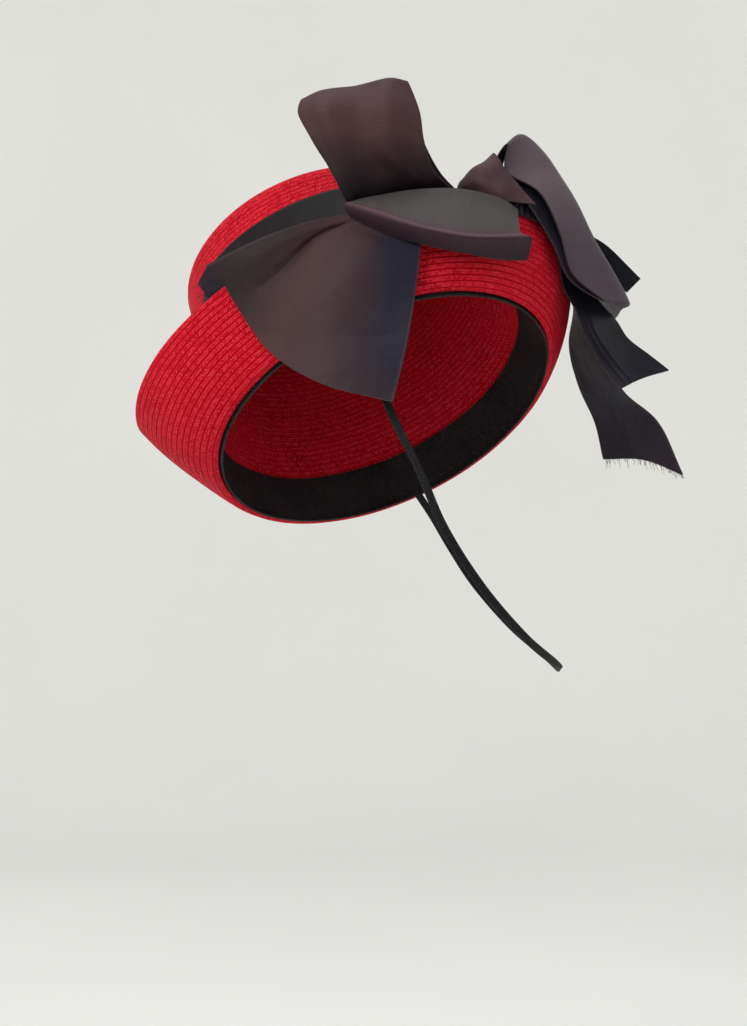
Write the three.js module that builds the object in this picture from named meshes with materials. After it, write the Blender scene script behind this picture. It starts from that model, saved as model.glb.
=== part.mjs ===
// Tilt hat of sewn straw braid with a wide taffeta ribbon, in millimetres.
// Front of the hat is -Y, its back +Y, the wearer's left +X, up +Z.
// The hat keeps its worn tilt, and the origin is the centre of the head opening.

import * as THREE from 'three';

// Driving dimensions
const headLength = 159; // head opening, front to back
const headWidth = 139; // head opening, side to side
const strawWall = 1.8; // braid rows sewn one over the other
const pieceGap = 0.3; // between pieces that are sewn or laid together

const tiltForward = 25.7; // degrees, back of the hat up
const tiltSideways = 35.1; // degrees, wearer's left side up
const turn = 3; // degrees about the hat's own axis

const brimRise = 38.5; // rim above the opening
const brimFlareFront = 28.2; // rim beyond the opening, front and back
const brimFlareSide = 15.3; // rim beyond the opening, at the sides
const brimMargin = 3; // flat inner edge that the crown stands on

const crownHeight = 109;
const crownTopLength = 124; // at the top of the wall, front to back
const crownTopWidth = 111; // at the top of the wall, side to side
const crownShoulder = 14; // radius between wall and top
const crownDome = 3; // rise of the top at its middle

const headBandHeight = 22;
const headBandDrop = 1.5; // how far it shows below the brim
const ribbonWidth = 100;
const ribbonThickness = 1;
const hatBandFoot = 9; // lower edge of the band on the crown wall
const hatBandTop = 83; // upper edge of the band on the crown wall
const hatBandFold = 2; // how far its soft folds stand off the crown
const hatBandDip = 18; // how far its upper edge drops over the forehead

const bowAngle = 100; // where the side bow is sewn to the rim
const backAngle = 150; // where the back bow is sewn to the rim
const tackAngle = 12; // degrees of rim that the sewn middle of a bow covers
const tackThickness = 2.6; // gathered plies of ribbon
const tackDepth = 6; // how far it reaches down from the rim, inside and outside

const strapDiameter = 3.6;
const strapAngle = 91; // where the strap leaves the head band, from the front on each side

const vec = (x, y, z) => new THREE.Vector3(x, y, z);
const mix = (a, b, t) => a + (b - a) * t;

// Worn attitude of the hat, used by its group and by the ribbons that stand clear of the straw
const wornTilt = new THREE.Euler(
  THREE.MathUtils.degToRad(tiltForward),
  THREE.MathUtils.degToRad(-tiltSideways),
  THREE.MathUtils.degToRad(turn),
  'XYZ',
);
const worn = (point) => point.clone().applyEuler(wornTilt);

// A point on an ellipse about the hat's axis, with angle 0 at the front and 90 at the wearer's left
function onEllipse(angle, halfLength, halfWidth, height) {
  const a = THREE.MathUtils.degToRad(angle);
  return vec(halfWidth * Math.sin(a), -halfLength * Math.cos(a), height);
}

// Turn-up of the brim round the hat: shares of its rise and flare, steepest on the wearer's right
const brimTurnUp = [
  { angle: 10, rise: 1.02, flare: 0.96 },
  { angle: 60, rise: 1.0, flare: 1.0 },
  { angle: 120, rise: 1.0, flare: 1.0 },
  { angle: 180, rise: 1.0, flare: 1.0 },
  { angle: 250, rise: 1.05, flare: 0.75 },
  { angle: 310, rise: 1.12, flare: 0.45 },
  { angle: 345, rise: 1.14, flare: 0.64 },
];

// A column of such a table at any angle, on a smooth closed curve through its rows
function roundTheHat(table, column, angle) {
  const n = table.length;
  const row = (i) => {
    const turns = Math.floor(i / n);
    const r = table[i - turns * n];
    return { angle: r.angle + 360 * turns, value: r[column] };
  };
  const a = ((angle - table[0].angle) % 360 + 360) % 360 + table[0].angle;
  let i = 0;
  while (row(i + 1).angle <= a) i += 1;
  const [before, here, next, after] = [row(i - 1), row(i), row(i + 1), row(i + 2)];
  const span = next.angle - here.angle;
  const t = (a - here.angle) / span;
  const slopeHere = ((next.value - before.value) / (next.angle - before.angle)) * span;
  const slopeNext = ((after.value - here.value) / (after.angle - here.angle)) * span;
  const t2 = t * t;
  const t3 = t2 * t;
  return (
    (2 * t3 - 3 * t2 + 1) * here.value + (t3 - 2 * t2 + t) * slopeHere
    + (3 * t2 - 2 * t3) * next.value + (t3 - t2) * slopeNext
  );
}

// Section of the brim: a flat margin, then one curve that rolls upwards. Share 0 is the inner edge, 1 the rim.
const brimBend = { out: 0.67, up: 0.34 };
const brimMarginShare = 0.08;

function brimLine(angle, share) {
  const flareHere = roundTheHat(brimTurnUp, 'flare', angle);
  const riseHere = brimRise * roundTheHat(brimTurnUp, 'rise', angle);
  const s = Math.max(0, (share - brimMarginShare) / (1 - brimMarginShare));
  const out = 2 * s * (1 - s) * brimBend.out + s * s;
  const up = 2 * s * (1 - s) * brimBend.up + s * s;
  const margin = brimMargin * Math.min(1, share / brimMarginShare);
  return onEllipse(
    angle,
    headLength / 2 + margin + (brimFlareFront * flareHere - brimMargin) * out,
    headWidth / 2 + margin + (brimFlareSide * flareHere - brimMargin) * out,
    riseHere * up,
  );
}

// A point that stands off the under side of the brim, which faces outwards on a turned-up brim
function brimPoint(angle, share, out) {
  const step = 0.01;
  const along = brimLine(angle + 1, share).sub(brimLine(angle - 1, share));
  const up = brimLine(angle, share + step).sub(brimLine(angle, Math.max(0, share - step)));
  return brimLine(angle, share).addScaledVector(along.cross(up).normalize(), out);
}

// The outer face of the crown wall at a height above the opening
const crownFoot = strawWall + pieceGap;
const crownWallTop = crownHeight - crownShoulder;

function crownPoint(angle, height, out) {
  const t = (height - crownFoot) / (crownWallTop - crownFoot);
  return onEllipse(
    angle,
    mix(headLength / 2 + strawWall, crownTopLength / 2, t) + out,
    mix(headWidth / 2 + strawWall, crownTopWidth / 2, t) + out,
    height,
  );
}

// Closed solids

function geometryOf(points, triangles) {
  const geometry = new THREE.BufferGeometry();
  const positions = points.flatMap((p) => [p.x, p.y, p.z]);
  geometry.setAttribute('position', new THREE.Float32BufferAttribute(positions, 3));
  geometry.setIndex(triangles);
  geometry.computeVertexNormals();
  return geometry;
}

// A wall between two grids of points [row][column]. A wall that goes round closes its columns on themselves.
function wallBetween(outer, inner, goesRound) {
  const rows = outer.length;
  const columns = outer[0].length;
  const points = [...outer.flat(), ...inner.flat()];
  const triangles = [];
  const quad = (a, b, c, d) => triangles.push(a, b, c, a, c, d);
  const o = (r, c) => r * columns + (c % columns);
  const i = (r, c) => rows * columns + o(r, c);
  const spans = goesRound ? columns : columns - 1;
  const top = rows - 1;
  for (let c = 0; c < spans; c += 1) {
    for (let r = 0; r < top; r += 1) {
      quad(o(r, c), o(r, c + 1), o(r + 1, c + 1), o(r + 1, c));
      quad(i(r, c), i(r + 1, c), i(r + 1, c + 1), i(r, c + 1));
    }
    quad(i(0, c), i(0, c + 1), o(0, c + 1), o(0, c));
    quad(o(top, c), o(top, c + 1), i(top, c + 1), i(top, c));
  }
  if (!goesRound) {
    for (let r = 0; r < top; r += 1) {
      quad(o(r, 0), o(r + 1, 0), i(r + 1, 0), i(r, 0));
      quad(i(r, spans), i(r + 1, spans), o(r + 1, spans), o(r, spans));
    }
  }
  return geometryOf(points, triangles);
}

// A hollow cap between two stacks of rings, each stack closed by one point at its top.
function capBetween(outer, inner, outerTop, innerTop) {
  const rows = outer.length;
  const columns = outer[0].length;
  const points = [...outer.flat(), ...inner.flat(), outerTop, innerTop];
  const triangles = [];
  const quad = (a, b, c, d) => triangles.push(a, b, c, a, c, d);
  const o = (r, c) => r * columns + (c % columns);
  const i = (r, c) => rows * columns + o(r, c);
  const top = rows - 1;
  for (let c = 0; c < columns; c += 1) {
    for (let r = 0; r < top; r += 1) {
      quad(o(r, c), o(r, c + 1), o(r + 1, c + 1), o(r + 1, c));
      quad(i(r, c), i(r + 1, c), i(r + 1, c + 1), i(r, c + 1));
    }
    quad(i(0, c), i(0, c + 1), o(0, c + 1), o(0, c));
    triangles.push(o(top, c), o(top, c + 1), points.length - 2);
    triangles.push(i(top, c + 1), i(top, c), points.length - 1);
  }
  return geometryOf(points, triangles);
}

// Straw

const anglesRound = 64;
const roundAngles = Array.from({ length: anglesRound }, (_, i) => (i * 360) / anglesRound);
const stepsFrom = (count) => Array.from({ length: count + 1 }, (_, i) => i / count);

function strawBrim() {
  const shares = [0, brimMarginShare, ...stepsFrom(7).slice(1).map((t) => mix(brimMarginShare, 1, t))];
  const grid = (out) => shares.map((share) => roundAngles.map((angle) => brimPoint(angle, share, out)));
  return wallBetween(grid(0), grid(-strawWall), true);
}

function strawCrown() {
  const wallHeights = stepsFrom(4).map((t) => mix(crownFoot, crownWallTop, t));
  const shoulderTurns = stepsFrom(4).slice(1);
  const topShares = [0.6, 0.25];
  const rings = (wall) => {
    const stack = wallHeights.map((height) => roundAngles.map((angle) => crownPoint(angle, height, -wall)));
    for (const turned of shoulderTurns) {
      const a = (turned * Math.PI) / 2;
      const radius = crownShoulder - wall;
      stack.push(roundAngles.map((angle) => onEllipse(
        angle,
        crownTopLength / 2 - crownShoulder + radius * Math.cos(a),
        crownTopWidth / 2 - crownShoulder + radius * Math.cos(a),
        crownWallTop + radius * Math.sin(a),
      )));
    }
    for (const share of topShares) {
      stack.push(roundAngles.map((angle) => onEllipse(
        angle,
        (crownTopLength / 2 - crownShoulder) * share,
        (crownTopWidth / 2 - crownShoulder) * share,
        crownHeight - wall + crownDome * (1 - share * share),
      )));
    }
    return stack;
  };
  const middle = (wall) => vec(0, 0, crownHeight - wall + crownDome);
  return capBetween(rings(0), rings(strawWall), middle(0), middle(strawWall));
}

// Ribbon that lies round the crown, inside and outside

function headBand() {
  const heights = [-headBandDrop, crownFoot, headBandHeight];
  const grid = (out) => heights.map((height) => roundAngles.map((angle) => {
    const wall = crownPoint(angle, Math.max(height, crownFoot), -strawWall + out);
    wall.z = height;
    return wall;
  }));
  return wallBetween(grid(-pieceGap), grid(-pieceGap - ribbonThickness), true);
}

// Soft folds of the band: shares of its height, and of how far it stands off there
const hatBandFolds = [
  { height: 0, off: 0 },
  { height: 0.2, off: 0.8 },
  { height: 0.38, off: 0.2 },
  { height: 0.62, off: 1 },
  { height: 0.85, off: 0.3 },
  { height: 1, off: 0.15 },
];

// The band's upper edge, lower over the forehead, where the ribbon runs down under the bow
function hatBandEdge(angle) {
  const fromFront = angle > 180 ? angle - 360 : angle;
  const dip = THREE.MathUtils.smoothstep(fromFront, -80, -30) * (1 - THREE.MathUtils.smoothstep(fromFront, 30, 48));
  return hatBandTop - hatBandDip * dip;
}

function hatBand() {
  const grid = (out) => hatBandFolds.map((fold) => roundAngles.map((angle) => crownPoint(
    angle,
    mix(hatBandFoot, hatBandEdge(angle), fold.height),
    pieceGap + hatBandFold * fold.off + out,
  )));
  return wallBetween(grid(ribbonThickness), grid(0), true);
}

// Ribbon sewn to the rim

// The gathered middle of a bow, hooked over the rim from the inside to the outside
function bowTack(middle) {
  const angles = stepsFrom(4).map((t) => middle + (t - 0.5) * tackAngle);
  const shareLength = brimLine(middle, 1).distanceTo(brimLine(middle, 0.9)) / 0.1;
  const foot = 1 - tackDepth / shareLength;
  const path = (off) => {
    const over = 1 + off / shareLength;
    const inside = -strawWall - off;
    return [
      [foot, inside], [(1 + foot) / 2, inside], [1, inside], [over, -strawWall], [over, 0],
      [1, off], [(1 + foot) / 2, off], [foot, off],
    ];
  };
  const grid = (off) => angles.map((angle) => path(off).map(([share, out]) => brimPoint(angle, share, out)));
  return wallBetween(grid(pieceGap + tackThickness), grid(pieceGap), false);
}

// The ply of the flap that stays inside the rim and shows at its tip: shares of the brim at each angle
const innerPly = [
  { angle: 92, foot: 0.82, top: 1.02 },
  { angle: 82, foot: 0.84, top: 1.06 },
  { angle: 73, foot: 0.88, top: 1.16 },
  { angle: 66, foot: 0.92, top: 1.26 },
  { angle: 60, foot: 0.98, top: 1.2 },
];

function flapInnerPly() {
  const grid = (out) => innerPly.map(({ angle, foot, top }) => stepsFrom(4).map(
    (t) => brimPoint(angle, mix(foot, top, t), out),
  ));
  const outside = -strawWall - pieceGap;
  return wallBetween(grid(outside), grid(outside - ribbonThickness), false);
}

// Ribbon that stands or hangs free. Each fold is a line along the ribbon, given by its points from the sewn end:
// how far back, up and out to the wearer's left they lie from the bow's place on the rim, in ribbon widths.
const bow = worn(brimPoint(bowAngle, 1, 0));
const backBow = worn(brimPoint(backAngle, 1, 0));

function clothGrid(place, folds, along, across) {
  const lines = folds.map((fold) => new THREE.CatmullRomCurve3(
    fold.map(([back, up, out]) => vec(out, back, up).multiplyScalar(ribbonWidth).add(place)),
  ));
  return stepsFrom(along).map((t) => {
    const section = new THREE.CatmullRomCurve3(lines.map((line) => line.getPoint(t)));
    return stepsFrom(across).map((s) => section.getPoint(s));
  });
}

function thicken(grid, thickness) {
  const at = (list, i) => list[Math.min(list.length - 1, Math.max(0, i))];
  const face = (side) => grid.map((row, r) => row.map((point, c) => {
    const across = at(row, c + 1).clone().sub(at(row, c - 1));
    const along = at(grid, r + 1)[c].clone().sub(at(grid, r - 1)[c]);
    return point.clone().addScaledVector(across.cross(along).normalize(), (side * thickness) / 2);
  }));
  return wallBetween(face(1), face(-1), false);
}

const cloth = (place, folds, along, across) => thicken(
  clothGrid(place, Object.values(folds), along, across),
  ribbonThickness,
);

// A fold that runs beside another one
const beside = (fold, back, up, out) => fold.map((p) => [p[0] + back, p[1] + up, p[2] + out]);

// Standing loop: up the front, over the top fold and down the back
const bowLoopFolds = {
  leftEdge: [
    [-0.03, 0.053, -0.03], [-0.1, 0.2, -0.02], [-0.19, 0.35, -0.02], [-0.245, 0.46, -0.03], [-0.228, 0.52, -0.07],
    [-0.225, 0.46, -0.12], [-0.17, 0.35, -0.16], [-0.09, 0.2, -0.2], [0.0, 0.06, -0.2],
  ],
  roll: [
    [0.01, 0.075, -0.022], [-0.045, 0.2, 0.05], [-0.115, 0.35, 0.06], [-0.16, 0.47, 0.05], [-0.15, 0.553, -0.05],
    [-0.14, 0.46, -0.13], [-0.09, 0.35, -0.18], [-0.03, 0.2, -0.22], [0.03, 0.07, -0.22],
  ],
  hollow: [
    [0.12, 0.11, -0.08], [0.07, 0.21, -0.01], [0.02, 0.35, 0.03], [0.0, 0.48, 0.04], [0.0, 0.578, -0.05],
    [0.0, 0.48, -0.12], [0.03, 0.35, -0.18], [0.08, 0.2, -0.22], [0.14, 0.07, -0.24],
  ],
  ridge: [
    [0.3, 0.135, -0.14], [0.22, 0.22, -0.03], [0.16, 0.35, 0.07], [0.14, 0.48, 0.08], [0.15, 0.605, -0.03],
    [0.15, 0.48, -0.12], [0.18, 0.35, -0.18], [0.24, 0.21, -0.22], [0.32, 0.09, -0.26],
  ],
  rightEdge: [
    [0.43, 0.14, -0.2], [0.33, 0.23, -0.08], [0.295, 0.34, -0.03], [0.278, 0.46, -0.03], [0.225, 0.598, -0.06],
    [0.26, 0.46, -0.11], [0.3, 0.34, -0.15], [0.37, 0.22, -0.2], [0.48, 0.12, -0.28],
  ],
};

// Flap that fans out over the brim and hangs to the temple, from its gathered end to its cut end
const bowFlapFolds = {
  topEdge: [[-0.02, 0.01, 0.05], [-0.17, -0.02, 0.07], [-0.41, -0.1, 0.06], [-0.64, -0.21, 0.02]],
  facet: [[0.0, 0.0, 0.06], [-0.2, -0.07, 0.08], [-0.42, -0.17, 0.08], [-0.57, -0.28, 0.03]],
  valley: [[0.03, -0.01, 0.06], [-0.16, -0.08, 0.07], [-0.32, -0.24, 0.09], [-0.51, -0.38, 0.05]],
  ridge: [[0.12, -0.05, 0.08], [-0.01, -0.23, 0.17], [-0.2, -0.44, 0.19], [-0.37, -0.58, 0.14]],
  fall: [[0.2, -0.08, 0.09], [0.13, -0.32, 0.18], [0.0, -0.56, 0.25], [-0.14, -0.73, 0.28]],
  rightEdge: [[0.28, -0.12, 0.09], [0.26, -0.3, 0.15], [0.22, -0.55, 0.25], [0.16, -0.81, 0.32]],
};

// Tail laid along the rim towards the back, folded lengthwise so that its fold stands out
const bowTailFolds = {
  topEdge: [
    [-0.01, 0.07, 0.0], [0.11, 0.1, -0.02], [0.28, 0.125, -0.04], [0.46, 0.135, -0.1], [0.64, 0.105, -0.2],
    [0.715, 0.065, -0.25],
  ],
  slope: [
    [-0.02, 0.06, 0.05], [0.11, 0.05, 0.07], [0.28, 0.035, 0.08], [0.455, 0.015, 0.05], [0.63, 0.0, -0.04],
    [0.71, -0.005, -0.12],
  ],
  aboveFold: [
    [-0.035, 0.053, 0.09], [0.11, 0.005, 0.14], [0.28, -0.05, 0.16], [0.45, -0.08, 0.13], [0.61, -0.08, 0.05],
    [0.72, -0.065, -0.04],
  ],
  fold: [
    [-0.045, 0.044, 0.1], [0.11, -0.012, 0.155], [0.28, -0.065, 0.175], [0.45, -0.096, 0.145], [0.625, -0.095, 0.06],
    [0.765, -0.08, -0.05],
  ],
  underFold: [
    [-0.04, 0.03, 0.095], [0.11, -0.026, 0.145], [0.28, -0.08, 0.165], [0.45, -0.11, 0.13], [0.625, -0.113, 0.045],
    [0.765, -0.096, -0.065],
  ],
  lowerEdge: [
    [-0.02, 0.0, 0.07], [0.13, -0.072, 0.1], [0.287, -0.124, 0.11], [0.43, -0.152, 0.075], [0.585, -0.172, 0.0],
    [0.75, -0.168, -0.12],
  ],
};

// Gathered head of the back bow, from its tip towards the rim's back
const backPuffFolds = {
  nearFoot: [[-0.28, 0.06, 0.0], [-0.135, 0.04, 0.08], [0.03, 0.01, 0.1]],
  nearSide: [[-0.31, 0.09, -0.01], [-0.24, 0.12, 0.08], [-0.1, 0.17, 0.06]],
  top: [[-0.295, 0.125, -0.05], [-0.24, 0.19, -0.04], [-0.147, 0.245, 0.0]],
  farSide: [[-0.27, 0.09, -0.1], [-0.22, 0.11, -0.14], [-0.15, 0.13, -0.13]],
};

// Long loop of the back bow: up to its peak, down behind the hat to its end, and back up inside to the rim
const loopCrest = [
  [-0.105, 0.1, -0.14], [-0.105, 0.23, -0.14], [-0.03, 0.35, -0.14], [0.07, 0.28, -0.14],
  [0.185, 0.115, -0.14], [0.29, -0.08, -0.14], [0.39, -0.26, -0.14], [0.465, -0.41, -0.14],
  [0.35, -0.3, -0.14], [0.26, -0.1, -0.14], [0.1, 0.13, -0.14], [-0.07, 0.24, -0.14],
];
const backLoopFolds = {
  nearEdge: [
    [-0.125, 0.07, -0.04], [-0.148, 0.2, -0.03], [-0.09, 0.29, -0.02], [-0.075, 0.15, 0.02],
    [0.05, 0.075, 0.02], [0.14, -0.1, 0.02], [0.2, -0.29, 0.02], [0.34, -0.41, 0.02],
    [0.19, -0.32, 0.02], [0.105, -0.15, 0.04], [-0.01, 0.021, 0.068], [-0.1, 0.095, 0.035],
  ],
  crest: loopCrest,
  farSide: beside(loopCrest, -0.01, -0.01, -0.22),
  farEdge: beside(loopCrest, -0.02, -0.03, -0.42),
};

// Tails of the back bow
const backTailUpperFolds = {
  upperEdge: [[0.275, -0.055, -0.39], [0.395, -0.12, -0.4], [0.55, -0.27, -0.42]],
  lowerEdge: [[0.385, -0.26, -0.39], [0.43, -0.3, -0.4], [0.485, -0.335, -0.41]],
};
const backTailMiddleFolds = {
  nearEdge: [
    [0.14, -0.13, -0.1], [0.168, -0.34, -0.06], [0.215, -0.45, -0.03], [0.25, -0.55, -0.04],
    [0.34, -0.7, -0.04], [0.42, -0.8, -0.04],
  ],
  pleat: [
    [0.19, -0.13, -0.16], [0.25, -0.36, -0.17], [0.33, -0.46, -0.19], [0.37, -0.56, -0.2],
    [0.46, -0.68, -0.2], [0.53, -0.745, -0.2],
  ],
  farEdge: [
    [0.225, -0.12, -0.25], [0.33, -0.36, -0.3], [0.43, -0.47, -0.34], [0.48, -0.55, -0.34],
    [0.58, -0.63, -0.34], [0.67, -0.7, -0.34],
  ],
};
const backTailLowerFolds = {
  farEdge: [
    [0.24, -0.26, -0.5], [0.255, -0.4, -0.57], [0.235, -0.55, -0.6], [0.28, -0.74, -0.6],
    [0.36, -0.94, -0.6], [0.4, -1.1, -0.6],
  ],
  middle: [
    [0.25, -0.2, -0.37], [0.275, -0.39, -0.42], [0.28, -0.57, -0.42], [0.37, -0.77, -0.42],
    [0.48, -0.94, -0.4], [0.56, -1.11, -0.4],
  ],
  nearEdge: [
    [0.225, -0.17, -0.25], [0.265, -0.4, -0.26], [0.33, -0.6, -0.26], [0.46, -0.8, -0.26],
    [0.6, -0.93, -0.25], [0.725, -1.18, -0.25],
  ],
};

// Strap round the back of the head: its points out to the left, back and up, from the near side to the nape
const strapNear = [
  [63, -6, 18], [69, 2, -4], [74, 14, -29], [74, 24, -52], [67, 40, -77], [50, 59, -99], [24, 74, -112],
];
const strapNape = [0, 78, -116];
const strapFar = [[-24, 74, -112], [-50, 59, -99], [-67, 42, -79], [-68, 31, -62], [-58, 22, -47]];

function strap() {
  const leave = (angle) => {
    const foot = crownPoint(angle, crownFoot, -strawWall - pieceGap - ribbonThickness / 2);
    foot.z = -headBandDrop - pieceGap - strapDiameter / 3;
    return worn(foot);
  };
  const route = [strapNear, [strapNape], strapFar].flat().map(([out, back, up]) => vec(out, back, up));
  const path = new THREE.CatmullRomCurve3([leave(strapAngle), ...route, leave(360 - strapAngle)]);
  const sides = 8;
  const steps = 50;
  const section = new THREE.Shape(Array.from({ length: sides }, (_, i) => {
    const a = (i * 2 * Math.PI) / sides;
    return new THREE.Vector2(Math.cos(a), Math.sin(a)).multiplyScalar(strapDiameter / 2);
  }));
  return new THREE.ExtrudeGeometry(section, { steps, extrudePath: path });
}

const strawRed = new THREE.MeshStandardMaterial({ color: 0xa80f22, roughness: 0.45, metalness: 0 });
const taffeta = new THREE.MeshStandardMaterial({ color: 0x2b2228, roughness: 0.5, metalness: 0 });
const elastic = new THREE.MeshStandardMaterial({ color: 0x121114, roughness: 0.6, metalness: 0 });

const hat = new THREE.Group();
hat.rotation.copy(wornTilt);
const part = new THREE.Group();
part.add(hat);

function add(group, name, geometry, material) {
  const mesh = new THREE.Mesh(geometry, material);
  mesh.name = name;
  group.add(mesh);
}

add(hat, 'straw_brim', strawBrim(), strawRed);
add(hat, 'straw_crown', strawCrown(), strawRed);
add(hat, 'head_band', headBand(), taffeta);
add(hat, 'hat_band', hatBand(), taffeta);
add(hat, 'bow_tack', bowTack(bowAngle), taffeta);
add(hat, 'back_tack', bowTack(backAngle), taffeta);
add(hat, 'bow_inner_ply', flapInnerPly(), taffeta);
add(part, 'bow_loop', cloth(bow, bowLoopFolds, 16, 8), taffeta);
add(part, 'bow_flap', cloth(bow, bowFlapFolds, 10, 12), taffeta);
add(part, 'bow_tail', cloth(bow, bowTailFolds, 10, 8), taffeta);
add(part, 'back_puff', cloth(backBow, backPuffFolds, 6, 8), taffeta);
add(part, 'back_loop', cloth(backBow, backLoopFolds, 26, 6), taffeta);
add(part, 'back_tail_upper', cloth(backBow, backTailUpperFolds, 5, 3), taffeta);
add(part, 'back_tail_middle', cloth(backBow, backTailMiddleFolds, 10, 6), taffeta);
add(part, 'back_tail_lower', cloth(backBow, backTailLowerFolds, 10, 6), taffeta);
add(part, 'back_strap', strap(), elastic);

export default part;
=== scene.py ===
# Tilt hat of red sewn straw braid with a wide taffeta ribbon, dressed on its CAD model
from math import pi, radians

import bmesh
import bpy
import numpy as np
from mathutils import Matrix, Vector, noise


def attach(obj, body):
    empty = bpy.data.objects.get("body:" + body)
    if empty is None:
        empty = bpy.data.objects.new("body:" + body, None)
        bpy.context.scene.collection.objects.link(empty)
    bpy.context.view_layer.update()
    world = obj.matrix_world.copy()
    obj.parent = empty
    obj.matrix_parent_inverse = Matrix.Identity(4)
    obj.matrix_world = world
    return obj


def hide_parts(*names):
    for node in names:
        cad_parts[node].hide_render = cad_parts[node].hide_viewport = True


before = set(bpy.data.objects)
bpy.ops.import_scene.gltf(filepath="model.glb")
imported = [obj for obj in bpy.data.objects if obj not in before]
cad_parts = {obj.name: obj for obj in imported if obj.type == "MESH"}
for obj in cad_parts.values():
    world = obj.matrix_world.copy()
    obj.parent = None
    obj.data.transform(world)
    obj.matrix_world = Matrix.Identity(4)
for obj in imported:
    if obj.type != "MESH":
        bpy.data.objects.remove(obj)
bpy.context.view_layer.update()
mm = 0.001
print("frame loaded")

# Sizes of the hat, in millimetres and degrees, as the CAD model has them
hat = {
    "headLength": 159,
    "headWidth": 139,
    "strawWall": 1.8,
    "pieceGap": 0.3,
    "tiltForward": 25.7,
    "tiltSideways": 35.1,
    "turn": 3,
    "brimRise": 38.5,
    "brimFlareFront": 28.2,
    "brimFlareSide": 15.3,
    "brimMargin": 3,
    "brimMarginShare": 0.08,
    "brimBendOut": 0.67,
    "brimBendUp": 0.34,
    "crownHeight": 109,
    "crownTopLength": 124,
    "crownTopWidth": 111,
    "crownShoulder": 14,
    "crownDome": 3,
    "ribbonWidth": 100,
}
crownFoot = hat["strawWall"] + hat["pieceGap"]
crownWallTop = hat["crownHeight"] - hat["crownShoulder"]

wornTilt = (
    Matrix.Rotation(radians(hat["tiltForward"]), 3, "X")
    @ Matrix.Rotation(radians(-hat["tiltSideways"]), 3, "Y")
    @ Matrix.Rotation(radians(hat["turn"]), 3, "Z")
)
wornTilt = np.array(wornTilt)


def worn(points):
    return points @ wornTilt.T


def onEllipse(angle, halfLength, halfWidth, height):
    a = np.radians(angle)
    x, y, z = np.broadcast_arrays(halfWidth * np.sin(a), -halfLength * np.cos(a), height)
    return np.stack([x, y, z], axis=-1).astype(float)


# How the brim turns up round the hat: angle from the front, share of its rise, share of its flare
brimTurnUp = [
    (10, 1.02, 0.96),
    (60, 1.0, 1.0),
    (120, 1.0, 1.0),
    (180, 1.0, 1.0),
    (250, 1.05, 0.75),
    (310, 1.12, 0.45),
    (345, 1.14, 0.64),
]


def turnUpAt(column, angle):
    n = len(brimTurnUp)

    def row(i):
        turns = i // n
        r = brimTurnUp[i - turns * n]
        return r[0] + 360 * turns, r[column]

    a = (angle - brimTurnUp[0][0]) % 360 + brimTurnUp[0][0]
    i = 0
    while row(i + 1)[0] <= a:
        i += 1
    before, here, ahead, after = row(i - 1), row(i), row(i + 1), row(i + 2)
    span = ahead[0] - here[0]
    t = (a - here[0]) / span
    slopeHere = (ahead[1] - before[1]) / (ahead[0] - before[0]) * span
    slopeAhead = (after[1] - here[1]) / (after[0] - here[0]) * span
    return (
        (2 * t**3 - 3 * t**2 + 1) * here[1]
        + (t**3 - 2 * t**2 + t) * slopeHere
        + (3 * t**2 - 2 * t**3) * ahead[1]
        + (t**3 - t**2) * slopeAhead
    )


turnUp = np.vectorize(turnUpAt)


def brimLine(angle, share):
    flare = turnUp(2, angle)
    rise = hat["brimRise"] * turnUp(1, angle)
    s = np.maximum(0, (share - hat["brimMarginShare"]) / (1 - hat["brimMarginShare"]))
    out = 2 * s * (1 - s) * hat["brimBendOut"] + s * s
    up = 2 * s * (1 - s) * hat["brimBendUp"] + s * s
    margin = hat["brimMargin"] * np.minimum(1, share / hat["brimMarginShare"])
    return onEllipse(
        angle,
        hat["headLength"] / 2 + margin + (hat["brimFlareFront"] * flare - hat["brimMargin"]) * out,
        hat["headWidth"] / 2 + margin + (hat["brimFlareSide"] * flare - hat["brimMargin"]) * out,
        rise * up,
    )


def unit(vectors):
    return vectors / np.maximum(1e-9, np.linalg.norm(vectors, axis=-1, keepdims=True))


def brimOut(angle, share):
    along = brimLine(angle + 1, share) - brimLine(angle - 1, share)
    up = brimLine(angle, share + 0.01) - brimLine(angle, np.maximum(0, share - 0.01))
    return unit(np.cross(along, up))


def brimPoint(angle, share, out):
    angle = np.asarray(angle, float)
    share = np.asarray(share, float)
    return brimLine(angle, share) + brimOut(angle, share) * out


def crownPoint(angle, height, out):
    t = (height - crownFoot) / (crownWallTop - crownFoot)
    halfLength = (hat["headLength"] / 2 + hat["strawWall"]) * (1 - t) + hat["crownTopLength"] / 2 * t
    halfWidth = (hat["headWidth"] / 2 + hat["strawWall"]) * (1 - t) + hat["crownTopWidth"] / 2 * t
    return onEllipse(angle, halfLength + out, halfWidth + out, height)


# Camera, at the place and the angle of the photograph
view = {
    "place": (1.09972, -0.005475, -0.04625),
    "turn": (pi / 2, 0, pi / 2),
    "lens": 85.77,
}
cameraData = bpy.data.cameras.new("camera")
cameraData.lens = view["lens"]
cameraData.sensor_width = 36
cameraData.clip_start = 0.05
camera = bpy.data.objects.new("camera", cameraData)
camera.location = view["place"]
camera.rotation_euler = view["turn"]
bpy.context.collection.objects.link(camera)
bpy.context.scene.camera = camera


# Node materials
def newMaterial(name):
    material = bpy.data.materials.new(name)
    material.use_nodes = True
    tree = material.node_tree
    tree.nodes.clear()
    shader = tree.nodes.new("ShaderNodeBsdfPrincipled")
    output = tree.nodes.new("ShaderNodeOutputMaterial")
    tree.links.new(shader.outputs[0], output.inputs["Surface"])
    return material, tree, shader


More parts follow.
